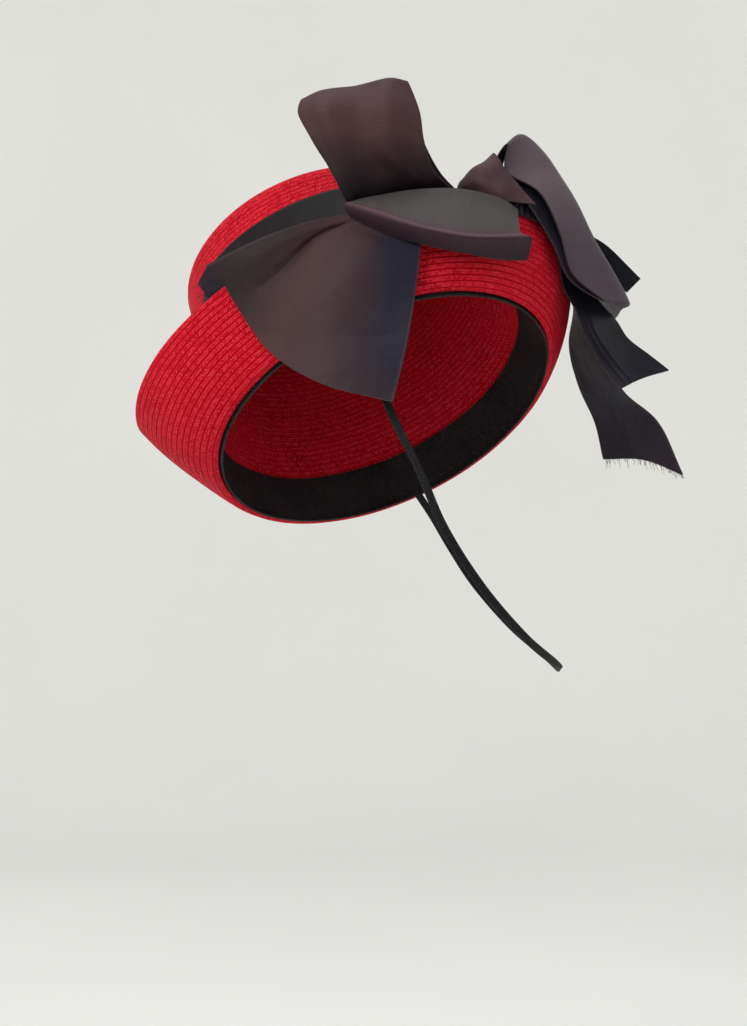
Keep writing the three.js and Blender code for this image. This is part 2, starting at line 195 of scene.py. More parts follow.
def addNode(tree, kind, **settings):
    node = tree.nodes.new(kind)
    for key, value in settings.items():
        if hasattr(node, key):
            setattr(node, key, value)
        else:
            node.inputs[key.replace("_", " ")].default_value = value
    return node


def plug(tree, source, node, socket):
    if isinstance(source, (int, float, tuple)):
        node.inputs[socket].default_value = source
    else:
        tree.links.new(source, node.inputs[socket])


def maths(tree, operation, first, second=0.5, third=0.0):
    node = tree.nodes.new("ShaderNodeMath")
    node.operation = operation
    for i, value in enumerate((first, second, third)):
        plug(tree, value, node, i)
    return node.outputs[0]


def blendColours(tree, share, first, second, kind="MIX"):
    node = tree.nodes.new("ShaderNodeMix")
    node.data_type = "RGBA"
    node.blend_type = kind
    plug(tree, share, node, 0)
    plug(tree, first, node, 6)
    plug(tree, second, node, 7)
    return node.outputs[2]


def ramp(tree, share, stops):
    node = tree.nodes.new("ShaderNodeValToRGB")
    while len(node.color_ramp.elements) < len(stops):
        node.color_ramp.elements.new(0.5)
    for element, (place, colour) in zip(node.color_ramp.elements, stops):
        element.position = place
        element.color = colour
    plug(tree, share, node, 0)
    return node.outputs[0]


def smoothBetween(tree, value, low, high):
    node = tree.nodes.new("ShaderNodeMapRange")
    node.interpolation_type = "SMOOTHSTEP"
    plug(tree, value, node, 0)
    node.inputs[1].default_value = low
    node.inputs[2].default_value = high
    return node.outputs[0]


def uvOf(tree, layer):
    uv = addNode(tree, "ShaderNodeUVMap", uv_map=layer)
    split = tree.nodes.new("ShaderNodeSeparateXYZ")
    tree.links.new(uv.outputs[0], split.inputs[0])
    return split.outputs[0], split.outputs[1]


def objectPlace(tree):
    return tree.nodes.new("ShaderNodeTexCoord").outputs["Object"]


def noiseAt(tree, place, scale, detail, **settings):
    node = addNode(tree, "ShaderNodeTexNoise", Scale=scale, Detail=detail, **settings)
    tree.links.new(place, node.inputs["Vector"])
    return node.outputs[0]


def bumped(tree, height, strength, distance, under=None):
    node = addNode(tree, "ShaderNodeBump", Strength=strength, Distance=distance)
    tree.links.new(height, node.inputs["Height"])
    if under is not None:
        tree.links.new(under, node.inputs["Normal"])
    return node.outputs[0]


def dress(tree, shader, colour, normal=None, roughness=0.5, gloss=0.5):
    plug(tree, colour, shader, "Base Color")
    if normal is not None:
        tree.links.new(normal, shader.inputs["Normal"])
    plug(tree, roughness, shader, "Roughness")
    shader.inputs["Specular IOR Level"].default_value = gloss


# Straw braid: a two-strand plait in each row. The UV map counts strands along a row and rows across.
strawLook = {
    "shade": (0.28, 0.001, 0.005, 1),
    "body": (0.58, 0.005, 0.018, 1),
    "lit": (0.72, 0.014, 0.036, 1),
    "highlightTint": (1.0, 0.11, 0.16, 1),
    "grooveShade": (0.17, 0.001, 0.003, 1),
    "slant": 1.6,
    "patchScale": 26.0,
    "fibreScale": 1600.0,
    "ownTone": 0.34,
    "patchTone": 0.62,
    "gapShade": 0.6,
    "highlightShare": 0.42,
    "grooveShadeShare": 0.68,
    "roughness": 0.42,
    "ownRoughness": 0.16,
    "gloss": 0.05,
    "reliefStrength": 0.9,
    "relief": 0.0004,
}


def strawBraidMaterial():
    look = strawLook
    material, tree, shader = newMaterial("strawBraid")

    def less(value):
        return maths(tree, "SUBTRACT", 1.0, value)

    def times(first, second):
        return maths(tree, "MULTIPLY", first, second)

    strands, rows = uvOf(tree, "braid")
    across = maths(tree, "FRACT", rows)
    half = maths(tree, "GREATER_THAN", across, 0.5)
    fromMiddle = maths(tree, "ABSOLUTE", maths(tree, "SUBTRACT", across, 0.5))
    slanted = maths(tree, "MULTIPLY_ADD", fromMiddle, look["slant"], strands)
    slanted = maths(tree, "MULTIPLY_ADD", half, 0.5, slanted)
    strandRound = maths(tree, "SINE", times(maths(tree, "FRACT", slanted), pi))
    rowRound = maths(tree, "SINE", times(across, pi))
    crest = times(strandRound, smoothBetween(tree, fromMiddle, 0.0, 0.12))

    # one brightness for each strand end that shows
    cell = tree.nodes.new("ShaderNodeCombineXYZ")
    plug(tree, maths(tree, "FLOOR", slanted), cell, 0)
    plug(tree, maths(tree, "FLOOR", times(rows, 2.0)), cell, 1)
    ownNoise = addNode(tree, "ShaderNodeTexWhiteNoise", noise_dimensions="3D")
    tree.links.new(cell.outputs[0], ownNoise.inputs[0])
    own = ownNoise.outputs[0]
    place = objectPlace(tree)
    patches = noiseAt(tree, place, look["patchScale"], 3.0)
    fibres = noiseAt(tree, place, look["fibreScale"], 2.0)

    tone = maths(tree, "MULTIPLY_ADD", own, look["ownTone"], times(patches, look["patchTone"]))
    colour = ramp(tree, tone, [
        (0.12, look["shade"]), (0.42, look["body"]), (0.62, look["body"]), (0.9, look["lit"]),
    ])
    # painted shade in the gaps between strands
    inGap = less(smoothBetween(tree, crest, 0.05, 0.45))
    colour = blendColours(tree, times(inGap, look["gapShade"]), colour, look["shade"])
    # painted highlights: a pale pink tint on the crown of each strand and row, where light catches the straw
    onTop = times(smoothBetween(tree, strandRound, 0.6, 0.95), smoothBetween(tree, rowRound, 0.4, 0.8))
    paintedHighlights = times(onTop, smoothBetween(tree, own, 0.1, 1.0))
    colour = blendColours(tree, times(paintedHighlights, look["highlightShare"]), colour, look["highlightTint"])
    # painted shade: the colour darkens along the edges of each row, in the grooves between rows
    inGroove = less(smoothBetween(tree, rowRound, 0.02, 0.34))
    colour = blendColours(tree, times(inGroove, look["grooveShadeShare"]), colour, look["grooveShade"])

    height = maths(tree, "MULTIPLY_ADD", crest, 0.75, times(fibres, 0.18))
    height = maths(tree, "MULTIPLY_ADD", own, 0.22, height)
    height = times(height, smoothBetween(tree, rowRound, 0.0, 0.5))
    relief = bumped(tree, height, look["reliefStrength"], look["relief"])
    roughness = maths(tree, "MULTIPLY_ADD", own, look["ownRoughness"], look["roughness"])
    dress(tree, shader, colour, relief, roughness, look["gloss"])
    return material


# Taffeta: fine cross ribs, a tone ramp of painted light and shade set by place along and across the ribbon
# plus random drift, selvedges along both sides. Its UV map is in ribbon widths.
def taffetaMaterial(name, look):
    material, tree, shader = newMaterial(name)
    across, along = uvOf(tree, "ribbon")
    place = objectPlace(tree)
    drift = noiseAt(tree, place, look["driftScale"], 2.0)
    streak = tree.nodes.new("ShaderNodeCombineXYZ")
    plug(tree, maths(tree, "MULTIPLY", across, look["slubsAcross"]), streak, 0)
    plug(tree, maths(tree, "MULTIPLY", along, look["slubsAlong"]), streak, 1)
    slubs = noiseAt(tree, streak.outputs[0], 1.0, 3.0)

    # painted light and shade: the tone follows the place along and across each ribbon, by each piece's
    # weights
    paintedLight = maths(tree, "MULTIPLY_ADD", along, look["alongWeight"], look["alongStart"])
    paintedLight = maths(tree, "MULTIPLY_ADD", across, look["acrossWeight"], paintedLight)
    drifted = maths(tree, "SUBTRACT", drift, 0.5)
    tone = maths(tree, "MULTIPLY_ADD", drifted, look["driftWeight"], paintedLight)
    colour = ramp(tree, tone, look["tones"])
    lighter = blendColours(tree, 1.0, colour, look["slubTint"], "MULTIPLY")
    colour = blendColours(tree, smoothBetween(tree, slubs, 0.35, 0.8), colour, lighter)
    edge = maths(tree, "ABSOLUTE", maths(tree, "SUBTRACT", across, 0.5))
    selvedge = smoothBetween(tree, edge, *look["selvedgeStarts"])
    colour = blendColours(tree, maths(tree, "MULTIPLY", selvedge, 0.6), colour, look["selvedge"])

    ribs = maths(tree, "SINE", maths(tree, "MULTIPLY", along, 2 * pi * look["ribs"]))
    threads = maths(tree, "SINE", maths(tree, "MULTIPLY", across, 2 * pi * look["threads"]))
    weave = maths(tree, "MULTIPLY_ADD", threads, 0.35, ribs)
    weave = maths(tree, "MULTIPLY_ADD", slubs, 0.8, weave)
    woven = bumped(tree, weave, look["weaveDepth"], 0.1 * mm)
    crumple = noiseAt(tree, place, look["crumpleScale"], 4.0)
    pressed = noiseAt(tree, place, look["pressedScale"], 1.0, noise_type="RIDGED_MULTIFRACTAL")
    wrinkles = maths(tree, "MULTIPLY_ADD", pressed, look["pressedShare"], crumple)
    soft = bumped(tree, wrinkles, look["crumpleDepth"], 3 * mm, woven)
    dress(tree, shader, colour, soft, look["roughness"], look["gloss"])
    shader.inputs["Sheen Weight"].default_value = look["sheen"]
    shader.inputs["Sheen Roughness"].default_value = look["sheenRoughness"]
    shader.inputs["Sheen Tint"].default_value = look["sheenTint"]
    return material


taffetaLook = {
    "alongWeight": 0.0,
    "alongStart": 0.5,
    "acrossWeight": 0.0,
    "driftWeight": 1.4,
    "driftScale": 14.0,
    "slubsAcross": 3.0,
    "slubsAlong": 90.0,
    "slubTint": (1.14, 1.12, 1.13, 1),
    "selvedge": (0.05, 0.03, 0.038, 1),
    "selvedgeStarts": (0.488, 0.496),
    "ribs": 180,
    "threads": 234,
    "weaveDepth": 0.2,
    "crumpleDepth": 0.8,
    "crumpleScale": 34.0,
    "pressedScale": 23.8,
    "pressedShare": 0.6,
    "roughness": 0.48,
    "gloss": 0.1,
    "sheen": 0.03,
    "sheenRoughness": 0.38,
    "sheenTint": (0.75, 0.58, 0.68, 1),
}


def taffetaOf(name, **changes):
    return taffetaMaterial(name, {**taffetaLook, **changes})


def plainThreadMaterial(name, colour, dark, roughness):
    material, tree, shader = newMaterial(name)
    fibre = noiseAt(tree, objectPlace(tree), 900.0, 3.0)
    tones = ramp(tree, fibre, [(0.3, dark), (0.7, colour)])
    dress(tree, shader, tones, bumped(tree, fibre, 0.4, 0.2 * mm), roughness, 0.15)
    return material


# Meshes
def meshObject(name, points, faces, material):
    mesh = bpy.data.meshes.new(name)
    mesh.from_pydata((np.asarray(points) * mm).tolist(), [], faces)
    mesh.materials.append(material)
    mesh.polygons.foreach_set("use_smooth", [True] * len(mesh.polygons))
    mesh.update()
    piece = bpy.data.objects.new(name, mesh)
    bpy.context.collection.objects.link(piece)
    return piece


def sharpenEdges(piece, degrees):
    bm = bmesh.new()
    bm.from_mesh(piece.data)
    for edge in bm.edges:
        if len(edge.link_faces) == 2 and edge.calc_face_angle(0) > radians(degrees):
            edge.smooth = False
    bm.to_mesh(piece.data)
    bm.free()


def faceUv(piece, layer, values):
    data = piece.data.uv_layers.new(name=layer)
    data.data.foreach_set("uv", np.asarray(values, dtype=np.float32).ravel())


# Geometry Nodes
def newTree(name, inputs):
    tree = bpy.data.node_groups.new(name, "GeometryNodeTree")
    tree.interface.new_socket("Geometry", in_out="INPUT", socket_type="NodeSocketGeometry")
    for label, kind, value in inputs:
        socket = tree.interface.new_socket(label, in_out="INPUT", socket_type=kind)
        if value is not None:
            socket.default_value = value
    tree.interface.new_socket("Geometry", in_out="OUTPUT", socket_type="NodeSocketGeometry")
    return tree, tree.nodes.new("NodeGroupInput"), tree.nodes.new("NodeGroupOutput")


def endTree(tree, geometry, material, output):
    realize = tree.nodes.new("GeometryNodeRealizeInstances")
    setMaterial = tree.nodes.new("GeometryNodeSetMaterial")
    tree.links.new(geometry, realize.inputs[0])
    tree.links.new(realize.outputs[0], setMaterial.inputs[0])
    tree.links.new(material, setMaterial.inputs["Material"])
    tree.links.new(setMaterial.outputs[0], output.inputs[0])


def grown(piece, tree, **values):
    modifier = piece.modifiers.new(tree.name, "NODES")
    modifier.node_group = tree
    for item in tree.interface.items_tree:
        if item.in_out == "INPUT" and item.name.replace(" ", "_") in values:
            modifier[item.identifier] = values[item.name.replace(" ", "_")]
    depsgraph = bpy.context.evaluated_depsgraph_get()
    mesh = bpy.data.meshes.new_from_object(piece.evaluated_get(depsgraph))
    piece.modifiers.remove(modifier)
    piece.data = mesh
    mesh.name = piece.name
    return piece


def curveOf(tree, start):
    toCurve = tree.nodes.new("GeometryNodeMeshToCurve")
    tree.links.new(start.outputs["Geometry"], toCurve.inputs[0])
    return toCurve.outputs[0]


def pointsAlong(tree, start):
    resample = tree.nodes.new("GeometryNodeResampleCurve")
    resample.mode = "LENGTH"
    tree.links.new(curveOf(tree, start), resample.inputs["Curve"])
    tree.links.new(start.outputs["Spacing"], resample.inputs["Length"])
    return resample.outputs[0]


def sweptRound(tree, curve, radius, sides):
    circle = tree.nodes.new("GeometryNodeCurvePrimitiveCircle")
    plug(tree, radius, circle, "Radius")
    plug(tree, sides, circle, "Resolution")
    sweep = tree.nodes.new("GeometryNodeCurveToMesh")
    sweep.inputs["Fill Caps"].default_value = True
    tree.links.new(curve, sweep.inputs["Curve"])
    tree.links.new(circle.outputs[0], sweep.inputs["Profile Curve"])
    return sweep.outputs[0]


def turnedTo(tree, vector):
    turn = tree.nodes.new("FunctionNodeAlignRotationToVector")
    turn.axis = "Z"
    tree.links.new(vector, turn.inputs["Vector"])
    return turn.outputs[0]


def vectorMaths(tree, operation, first, second, socket):
    node = addNode(tree, "ShaderNodeVectorMath", operation=operation)
    tree.links.new(first, node.inputs[0])
    tree.links.new(second, node.inputs[socket])
    return node.outputs[0]


def putOn(tree, points, shape, rotation, size):
    put = tree.nodes.new("GeometryNodeInstanceOnPoints")
    for source, socket in ((points, "Points"), (shape, "Instance"), (rotation, "Rotation"), (size, "Scale")):
        tree.links.new(source, put.inputs[socket])
    return put.outputs[0]


def named(tree, name, kind):
    return addNode(tree, "GeometryNodeInputNamedAttribute", data_type=kind, Name=name).outputs[0]


# Lifts each row of braid over the next one, and lets the rows wander a little
rowProfile = [(0.0, 0.0), (0.1, 0.42), (0.35, 0.8), (0.7, 1.0), (0.9, 0.72), (1.0, 0.0)]


def sewnRowsTree():
    tree, start, output = newTree("sewnRows", [
        ("Row Lift", "NodeSocketFloat", 0.0005),
        ("Wander", "NodeSocketFloat", 0.0003),
        ("Wander Scale", "NodeSocketFloat", 30.0),
        ("Material", "NodeSocketMaterial", None),
    ])
    profile = tree.nodes.new("ShaderNodeFloatCurve")
    curve = profile.mapping.curves[0]
    curve.points[0].location = rowProfile[0]
    curve.points[1].location = rowProfile[-1]
    for place in rowProfile[1:-1]:
        curve.points.new(*place)
    profile.mapping.update()
    tree.links.new(maths(tree, "FRACT", named(tree, "rowPlace", "FLOAT")), profile.inputs["Value"])
    raised = maths(tree, "SUBTRACT", profile.outputs[0], 0.7)
    lift = maths(tree, "MULTIPLY", raised, start.outputs["Row Lift"])
    wander = addNode(tree, "ShaderNodeTexNoise", Detail=2.0)
    tree.links.new(start.outputs["Wander Scale"], wander.inputs["Scale"])
    swayed = maths(tree, "SUBTRACT", wander.outputs[0], 0.5)
    sway = maths(tree, "MULTIPLY", swayed, start.outputs["Wander"])
    outward = named(tree, "outward", "FLOAT_VECTOR")
    offset = vectorMaths(tree, "SCALE", outward, maths(tree, "ADD", lift, sway), "Scale")
    move = tree.nodes.new("GeometryNodeSetPosition")
    tree.links.new(start.outputs["Geometry"], move.inputs["Geometry"])
    tree.links.new(offset, move.inputs["Offset"])
    endTree(tree, move.outputs[0], start.outputs["Material"], output)
    return tree


# Draws a round thread along edges
def edgeCordTree():
    tree, start, output = newTree("edgeCord", [
        ("Radius", "NodeSocketFloat", 0.0003),
        ("Sides", "NodeSocketInt", 6),
        ("Material", "NodeSocketMaterial", None),
    ])
    cord = sweptRound(tree, curveOf(tree, start), start.outputs["Radius"], start.outputs["Sides"])
    endTree(tree, cord, start.outputs["Material"], output)
    return tree


# Loose threads along a cut edge. The attribute away points out of the cloth.
def frayTree():
    tree, start, output = newTree("fray", [
        ("Spacing", "NodeSocketFloat", 0.0007),
        ("Longest", "NodeSocketFloat", 0.004),
        ("Radius", "NodeSocketFloat", 0.00008),
        ("Spread", "NodeSocketFloat", 0.5),
        ("Seed", "NodeSocketInt", 3),
        ("Material", "NodeSocketMaterial", None),
    ])
    strand = addNode(
        tree, "GeometryNodeCurveQuadraticBezier",
        Resolution=5, Start=(0, 0, 0), Middle=(0, 0, 0.6), End=(0.25, 0.1, 1.0),
    )
    stray = addNode(
        tree, "FunctionNodeRandomValue", data_type="FLOAT_VECTOR", Min=(-1, -1, -1), Max=(1, 1, 1),
    )
    tree.links.new(start.outputs["Seed"], stray.inputs["Seed"])
    strayed = vectorMaths(tree, "SCALE", stray.outputs[0], start.outputs["Spread"], "Scale")
    aim = vectorMaths(tree, "ADD", named(tree, "away", "FLOAT_VECTOR"), strayed, 1)
    size = addNode(tree, "FunctionNodeRandomValue", data_type="FLOAT")
    size.inputs[2].default_value = 0.1
    size.inputs[3].default_value = 1.0
    tree.links.new(maths(tree, "ADD", start.outputs["Seed"], 1.0), size.inputs["Seed"])
    mostlyShort = maths(tree, "POWER", size.outputs[1], 2.2)
    long = maths(tree, "MULTIPLY", mostlyShort, start.outputs["Longest"])
    put = putOn(tree, pointsAlong(tree, start), strand.outputs[0], turnedTo(tree, aim), long)
    real = tree.nodes.new("GeometryNodeRealizeInstances")
    tree.links.new(put, real.inputs[0])
    threads = sweptRound(tree, real.outputs[0], start.outputs["Radius"], 3)
    endTree(tree, threads, start.outputs["Material"], output)
    return tree


# Short stitches along a line
def stitchTree():
    tree, start, output = newTree("stitches", [
        ("Spacing", "NodeSocketFloat", 0.006),
        ("Length", "NodeSocketFloat", 0.003),
        ("Radius", "NodeSocketFloat", 0.00022),
        ("Material", "NodeSocketMaterial", None),
    ])
    tangent = tree.nodes.new("GeometryNodeInputTangent")
    stitch = addNode(tree, "GeometryNodeMeshUVSphere", Segments=6, Rings=4, Radius=1.0)
    size = tree.nodes.new("ShaderNodeCombineXYZ")
    tree.links.new(start.outputs["Radius"], size.inputs[0])
    tree.links.new(start.outputs["Radius"], size.inputs[1])
    tree.links.new(maths(tree, "MULTIPLY", start.outputs["Length"], 0.5), size.inputs[2])
    turn = turnedTo(tree, tangent.outputs[0])
    put = putOn(tree, pointsAlong(tree, start), stitch.outputs[0], turn, size.outputs[0])
    endTree(tree, put, start.outputs["Material"], output)
    return tree


sewnRows = sewnRowsTree()
edgeCord = edgeCordTree()
fray = frayTree()
stitches = stitchTree()


def linesObject(name, lines, closed=False, away=None):
    points, edges = [], []
    for line in lines:
        first = len(points)
        points.extend(line)
        edges += [(first + i, first + i + 1) for i in range(len(line) - 1)]
        if closed:
            edges.append((len(points) - 1, first))
    mesh = bpy.data.meshes.new(name)
    mesh.from_pydata((np.asarray(points) * mm).tolist(), edges, [])
    if away is not None:
        layer = mesh.attributes.new("away", "FLOAT_VECTOR", "POINT")
        layer.data.foreach_set("vector", np.concatenate(away).astype(np.float32).ravel())
    piece = bpy.data.objects.new(name, mesh)
    bpy.context.collection.objects.link(piece)
    return piece


# A smooth line through points, the same kind as the CAD model's
def smoothLine(points, shares):
    points = np.asarray(points, float)
    count = len(points)
    place = np.asarray(shares, float) * (count - 1)
    i = np.minimum(place.astype(int), count - 2)
    w = (place - i)[:, None]
    padded = np.concatenate([[2 * points[0] - points[1]], points, [2 * points[-1] - points[-2]]])
    p0, p1, p2, p3 = (padded[i + k] for k in range(4))

    def spacing(a, b):
        return np.sum((a - b) ** 2, axis=1, keepdims=True) ** 0.25

    d1 = np.maximum(spacing(p1, p2), 1e-4)
    d0 = np.where(spacing(p0, p1) < 1e-4, d1, spacing(p0, p1))
    d2 = np.where(spacing(p2, p3) < 1e-4, d1, spacing(p2, p3))
    m1 = ((p1 - p0) / d0 - (p2 - p0) / (d0 + d1) + (p2 - p1) / d1) * d1
    m2 = ((p2 - p1) / d1 - (p3 - p1) / (d1 + d2) + (p3 - p2) / d2) * d1
    return (
        (2 * w**3 - 3 * w**2 + 1) * p1
        + (w**3 - 2 * w**2 + w) * m1
        + (3 * w**2 - 2 * w**3) * p2
        + (w**3 - w**2) * m2
    )


# Strap: two thin elastic cords side by side, in a loop from one side of the head band to the other
strap = {
    "diameter": 3.6,
    "angle": 91,
    "footBelow": 0.6,
    "pivotShare": 0.25,
    "coverPitch": 1.2,
    "footIn": hat["strawWall"] + hat["pieceGap"] + 0.5,
    "near": [
        (63, -6, 18), (69, 2, -4), (74, 14, -29), (74, 24, -52), (67, 40, -77), (50, 59, -99), (24, 74, -112),
    ],
    "nape": [(0, 78, -116)],
    "far": [(-24, 74, -112), (-50, 59, -99), (-67, 42, -79), (-68, 31, -62), (-58, 22, -47)],
    "steps": 220,
}


def strapMaterial():
    material, tree, shader = newMaterial("strapCover")
    around, along = uvOf(tree, "cover")
    sway = maths(tree, "PINGPONG", maths(tree, "MULTIPLY", around, 6.0), 1.0)
    turns = maths(tree, "MULTIPLY_ADD", along, 2 * pi, maths(tree, "MULTIPLY", sway, 3.0))
    twill = maths(tree, "SINE", turns)
    colour = ramp(tree, maths(tree, "MULTIPLY_ADD", twill, 0.5, 0.5), [
        (0.1, (0.002, 0.002, 0.003, 1)), (0.9, (0.010, 0.009, 0.011, 1)),
    ])
    dress(tree, shader, colour, bumped(tree, twill, 0.5, 0.2 * mm), 0.55, 0.15)
    return material


def makeStrap():
    def leave(angle):
        foot = crownPoint(np.array(float(angle)), crownFoot, -strap["footIn"])
        foot[2] = -strap["footBelow"]
        return worn(foot)

    route = strap["near"] + strap["nape"] + strap["far"]
    points = np.array([leave(strap["angle"]), *route, leave(360 - strap["angle"])])
    path = smoothLine(points, np.linspace(0, 1, strap["steps"] + 1))
    tangent = unit(np.gradient(path, axis=0))
    outwards = path - np.array([0, strap["pivotShare"] * path[:, 1].mean(), path[:, 2].mean()])
    outwards = unit(outwards - tangent * np.sum(outwards * tangent, axis=1, keepdims=True))
    wide = unit(np.cross(tangent, outwards))
    radius = strap["diameter"] / 4
    # figure of eight laid flat: each half follows its own round cord
    section = []
    for side in (1, -1):
        for k in range(-4, 5):
            a = k * radians(30)
            section.append((side * radius * (1 + np.cos(a)), side * radius * np.sin(a)))
    sides = len(section)
    points = np.stack([path + wide * s[0] + outwards * s[1] for s in section], axis=1).reshape(-1, 3)
    faces, uvs = [], []
    lengths = np.concatenate([[0], np.cumsum(np.linalg.norm(np.diff(path, axis=0), axis=1))])
    for r in range(len(path) - 1):
        for c in range(sides):
            d = (c + 1) % sides
            faces.append((r * sides + c, r * sides + d, (r + 1) * sides + d, (r + 1) * sides + c))
            for rr, cc in ((r, c), (r, c + 1), (r + 1, c + 1), (r + 1, c)):
                uvs.append((cc / sides, lengths[rr] / strap["coverPitch"]))
    faces.append(tuple(reversed(range(sides))))
    uvs += [(0, 0)] * sides
    last = (len(path) - 1) * sides
    faces.append(tuple(last + c for c in range(sides)))
    uvs += [(0, 0)] * sides
    piece = meshObject("strap", points, faces, strapMaterial())
    faceUv(piece, "cover", uvs)
    return piece, path, lengths[-1]


strapPiece, strapPath, strapLength = makeStrap()
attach(strapPiece, "root")
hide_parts("back_strap")
print("camera and strap ready, strap", round(strapLength), "mm")

strawBraid = strawBraidMaterial()
threadTones = {
    "selvedge": ((0.045, 0.026, 0.033, 1), (0.014, 0.009, 0.012, 1)),
    "cut": ((0.05, 0.03, 0.035, 1), (0.015, 0.01, 0.012, 1)),
    "sewing": ((0.03, 0.025, 0.028, 1), (0.01, 0.008, 0.01, 1)),
}
selvedgeThread = plainThreadMaterial("selvedgeThread", *threadTones["selvedge"], 0.6)
cutThread = plainThreadMaterial("cutThread", *threadTones["cut"], 0.6)
sewingThread = plainThreadMaterial("sewingThread", *threadTones["sewing"], 0.5)


# Shell of braid rows between an outer and an inner face. The strands are counted anew where a row starts.
def braidShell(name, faces, braid, closedTop):
    rowCount = braid["rows"]
    points, out, rowPlace, quads, uvs = [], [], [], [], []
    starts = []
    for grid, normals, rows, flip in faces:
        height, width = grid.shape[:2]
        starts.append(len(points))
        first = len(points)
        points.extend(grid.reshape(-1, 3))
        out.extend(normals.reshape(-1, 3))
        rowPlace.extend(np.repeat(rows, width))
        girth = np.linalg.norm(np.diff(grid, axis=1, append=grid[:, :1]), axis=2).sum(axis=1)
        for r in range(height - 1):
            if rows[r] % 1 == 0:
                strands = max(6, round(float(girth[r]) / braid["strandPitch"]))
            for c in range(width):
                d = (c + 1) % width
                a, b = first + r * width, first + (r + 1) * width
                quad = [(a + c, c, r), (a + d, c + 1, r), (b + d, c + 1, r + 1), (b + c, c, r + 1)]
                if flip:
                    quad.reverse()
                quads.append(tuple(q[0] for q in quad))
                low = np.floor(rows[r])
                for _, column, row in quad:
                    uvs.append((column / width * strands, min(rows[row], low + 0.9999)))
    width = faces[0][0].shape[1]
    outer, inner = starts
    edges = [(outer, inner, True)]
    if not closedTop:
        tops = [starts[k] + (faces[k][0].shape[0] - 1) * width for k in (0, 1)]
        edges.append((tops[0], tops[1], False))
    for a, b, low in edges:
        for c in range(width):
            d = (c + 1) % width
            quad = (b + c, b + d, a + d, a + c) if low else (a + c, a + d, b + d, b + c)
            quads.append(quad)
            uvs += [(c / 2, rowCount + 0.5)] * 4
    if closedTop:
        for k, (grid, normals, rows, flip) in enumerate(faces):
            last = starts[k] + (grid.shape[0] - 1) * width
            points.append(grid[-1].mean(axis=0))
            out.append((0, 0, -1) if flip else (0, 0, 1))
            rowPlace.append(rowCount - 0.5)
            for c in range(width):
                d = (c + 1) % width
                tri = (last + c, last + d, len(points) - 1)
                quads.append(tuple(reversed(tri)) if flip else tri)
                uvs += [(c / 12, rowCount - 0.5)] * 3
    piece = meshObject(name, worn(np.array(points)), quads, strawBraid)
    faceUv(piece, "braid", uvs)
    layer = piece.data.attributes.new("rowPlace", "FLOAT", "POINT")
    layer.data.foreach_set("value", np.asarray(rowPlace, dtype=np.float32))
    layer = piece.data.attributes.new("outward", "FLOAT_VECTOR", "POINT")
    layer.data.foreach_set("vector", worn(np.array(out)).astype(np.float32).ravel())
    return grown(
        piece, sewnRows, Row_Lift=braid["rowLift"] * mm, Wander=braid["wander"] * mm,
        Wander_Scale=braid["wanderScale"], Material=strawBraid,
    )


brim = {
    "rows": 16,
    "columns": 320,
    "samples": [0, 0.07, 0.25, 0.5, 0.75, 0.93],
    "strandPitch": 1.1,
    "rowLift": 0.45,
    "wander": 0.5,
    "wanderScale": 28.0,
}


def makeBrim():
    angles = np.arange(brim["columns"]) * 360.0 / brim["columns"]
    rows = np.array([r + s for r in range(brim["rows"]) for s in brim["samples"]] + [brim["rows"]])
    tries = np.linspace(0, 1, 80)
    shares = np.empty((len(rows), len(angles)))
    line = brimLine(angles[None, :], tries[:, None])
    steps = np.linalg.norm(np.diff(line, axis=0), axis=2)
    lengths = np.concatenate([np.zeros((1, len(angles))), np.cumsum(steps, axis=0)])
    for c in range(len(angles)):
        shares[:, c] = np.interp(rows / brim["rows"], lengths[:, c] / lengths[-1, c], tries)
    spread = np.broadcast_to(angles[None, :], shares.shape)
    normals = brimOut(spread, shares)
    outer = brimLine(spread, shares)
    inner = outer - normals * hat["strawWall"]
    faces = [(outer, normals, rows, False), (inner, -normals, rows, True)]
    return braidShell("brim", faces, brim, closedTop=False)


crown = {
    "rows": 59,
    "columns": 176,
    "samples": [0, 0.1, 0.4, 0.7, 0.92],
    "samplesInside": [0, 0.5, 0.9],
    "topEnds": 0.985,
    "strandPitch": 1.1,
    "rowLift": 0.5,
    "wander": 0.5,
    "wanderScale": 28.0,
}


# The crown's section: up the wall, round the shoulder, over the dome
def crownSection(angle, share, wall):
    wallLength = crownWallTop - crownFoot
    bendLength = hat["crownShoulder"] * pi / 2
    topLength = hat["crownTopLength"] / 2 - hat["crownShoulder"]
    whole = wallLength + bendLength + topLength
    place = share * whole
    halfLength = hat["crownTopLength"] / 2
    halfWidth = hat["crownTopWidth"] / 2
    bend = hat["crownShoulder"]
    if place <= wallLength:
        return crownPoint(angle, crownFoot + place, -wall)
    if place <= wallLength + bendLength:
        a = (place - wallLength) / bend
        out = (bend - wall) * np.cos(a) - bend
        return onEllipse(angle, halfLength + out, halfWidth + out, crownWallTop + (bend - wall) * np.sin(a))
    s = 1 - min(crown["topEnds"], (place - wallLength - bendLength) / topLength)
    height = hat["crownHeight"] - wall + hat["crownDome"] * (1 - s * s)
    return onEllipse(angle, (halfLength - bend) * s, (halfWidth - bend) * s, height)


def makeCrown():
    angles = np.arange(crown["columns"]) * 360.0 / crown["columns"]
    faces = []
    for wall, samples, flip in ((0, "samples", False), (hat["strawWall"], "samplesInside", True)):
        rows = np.array([r + s for r in range(crown["rows"]) for s in crown[samples]])
        grid = np.stack([crownSection(angles, r / crown["rows"], wall) for r in rows])
        up = np.gradient(grid, axis=0)
        around = np.roll(grid, -1, axis=1) - np.roll(grid, 1, axis=1)
        normals = unit(np.cross(around, up))
        faces.append((grid, -normals if flip else normals, rows, flip))
    return braidShell("crown", faces, crown, closedTop=True)


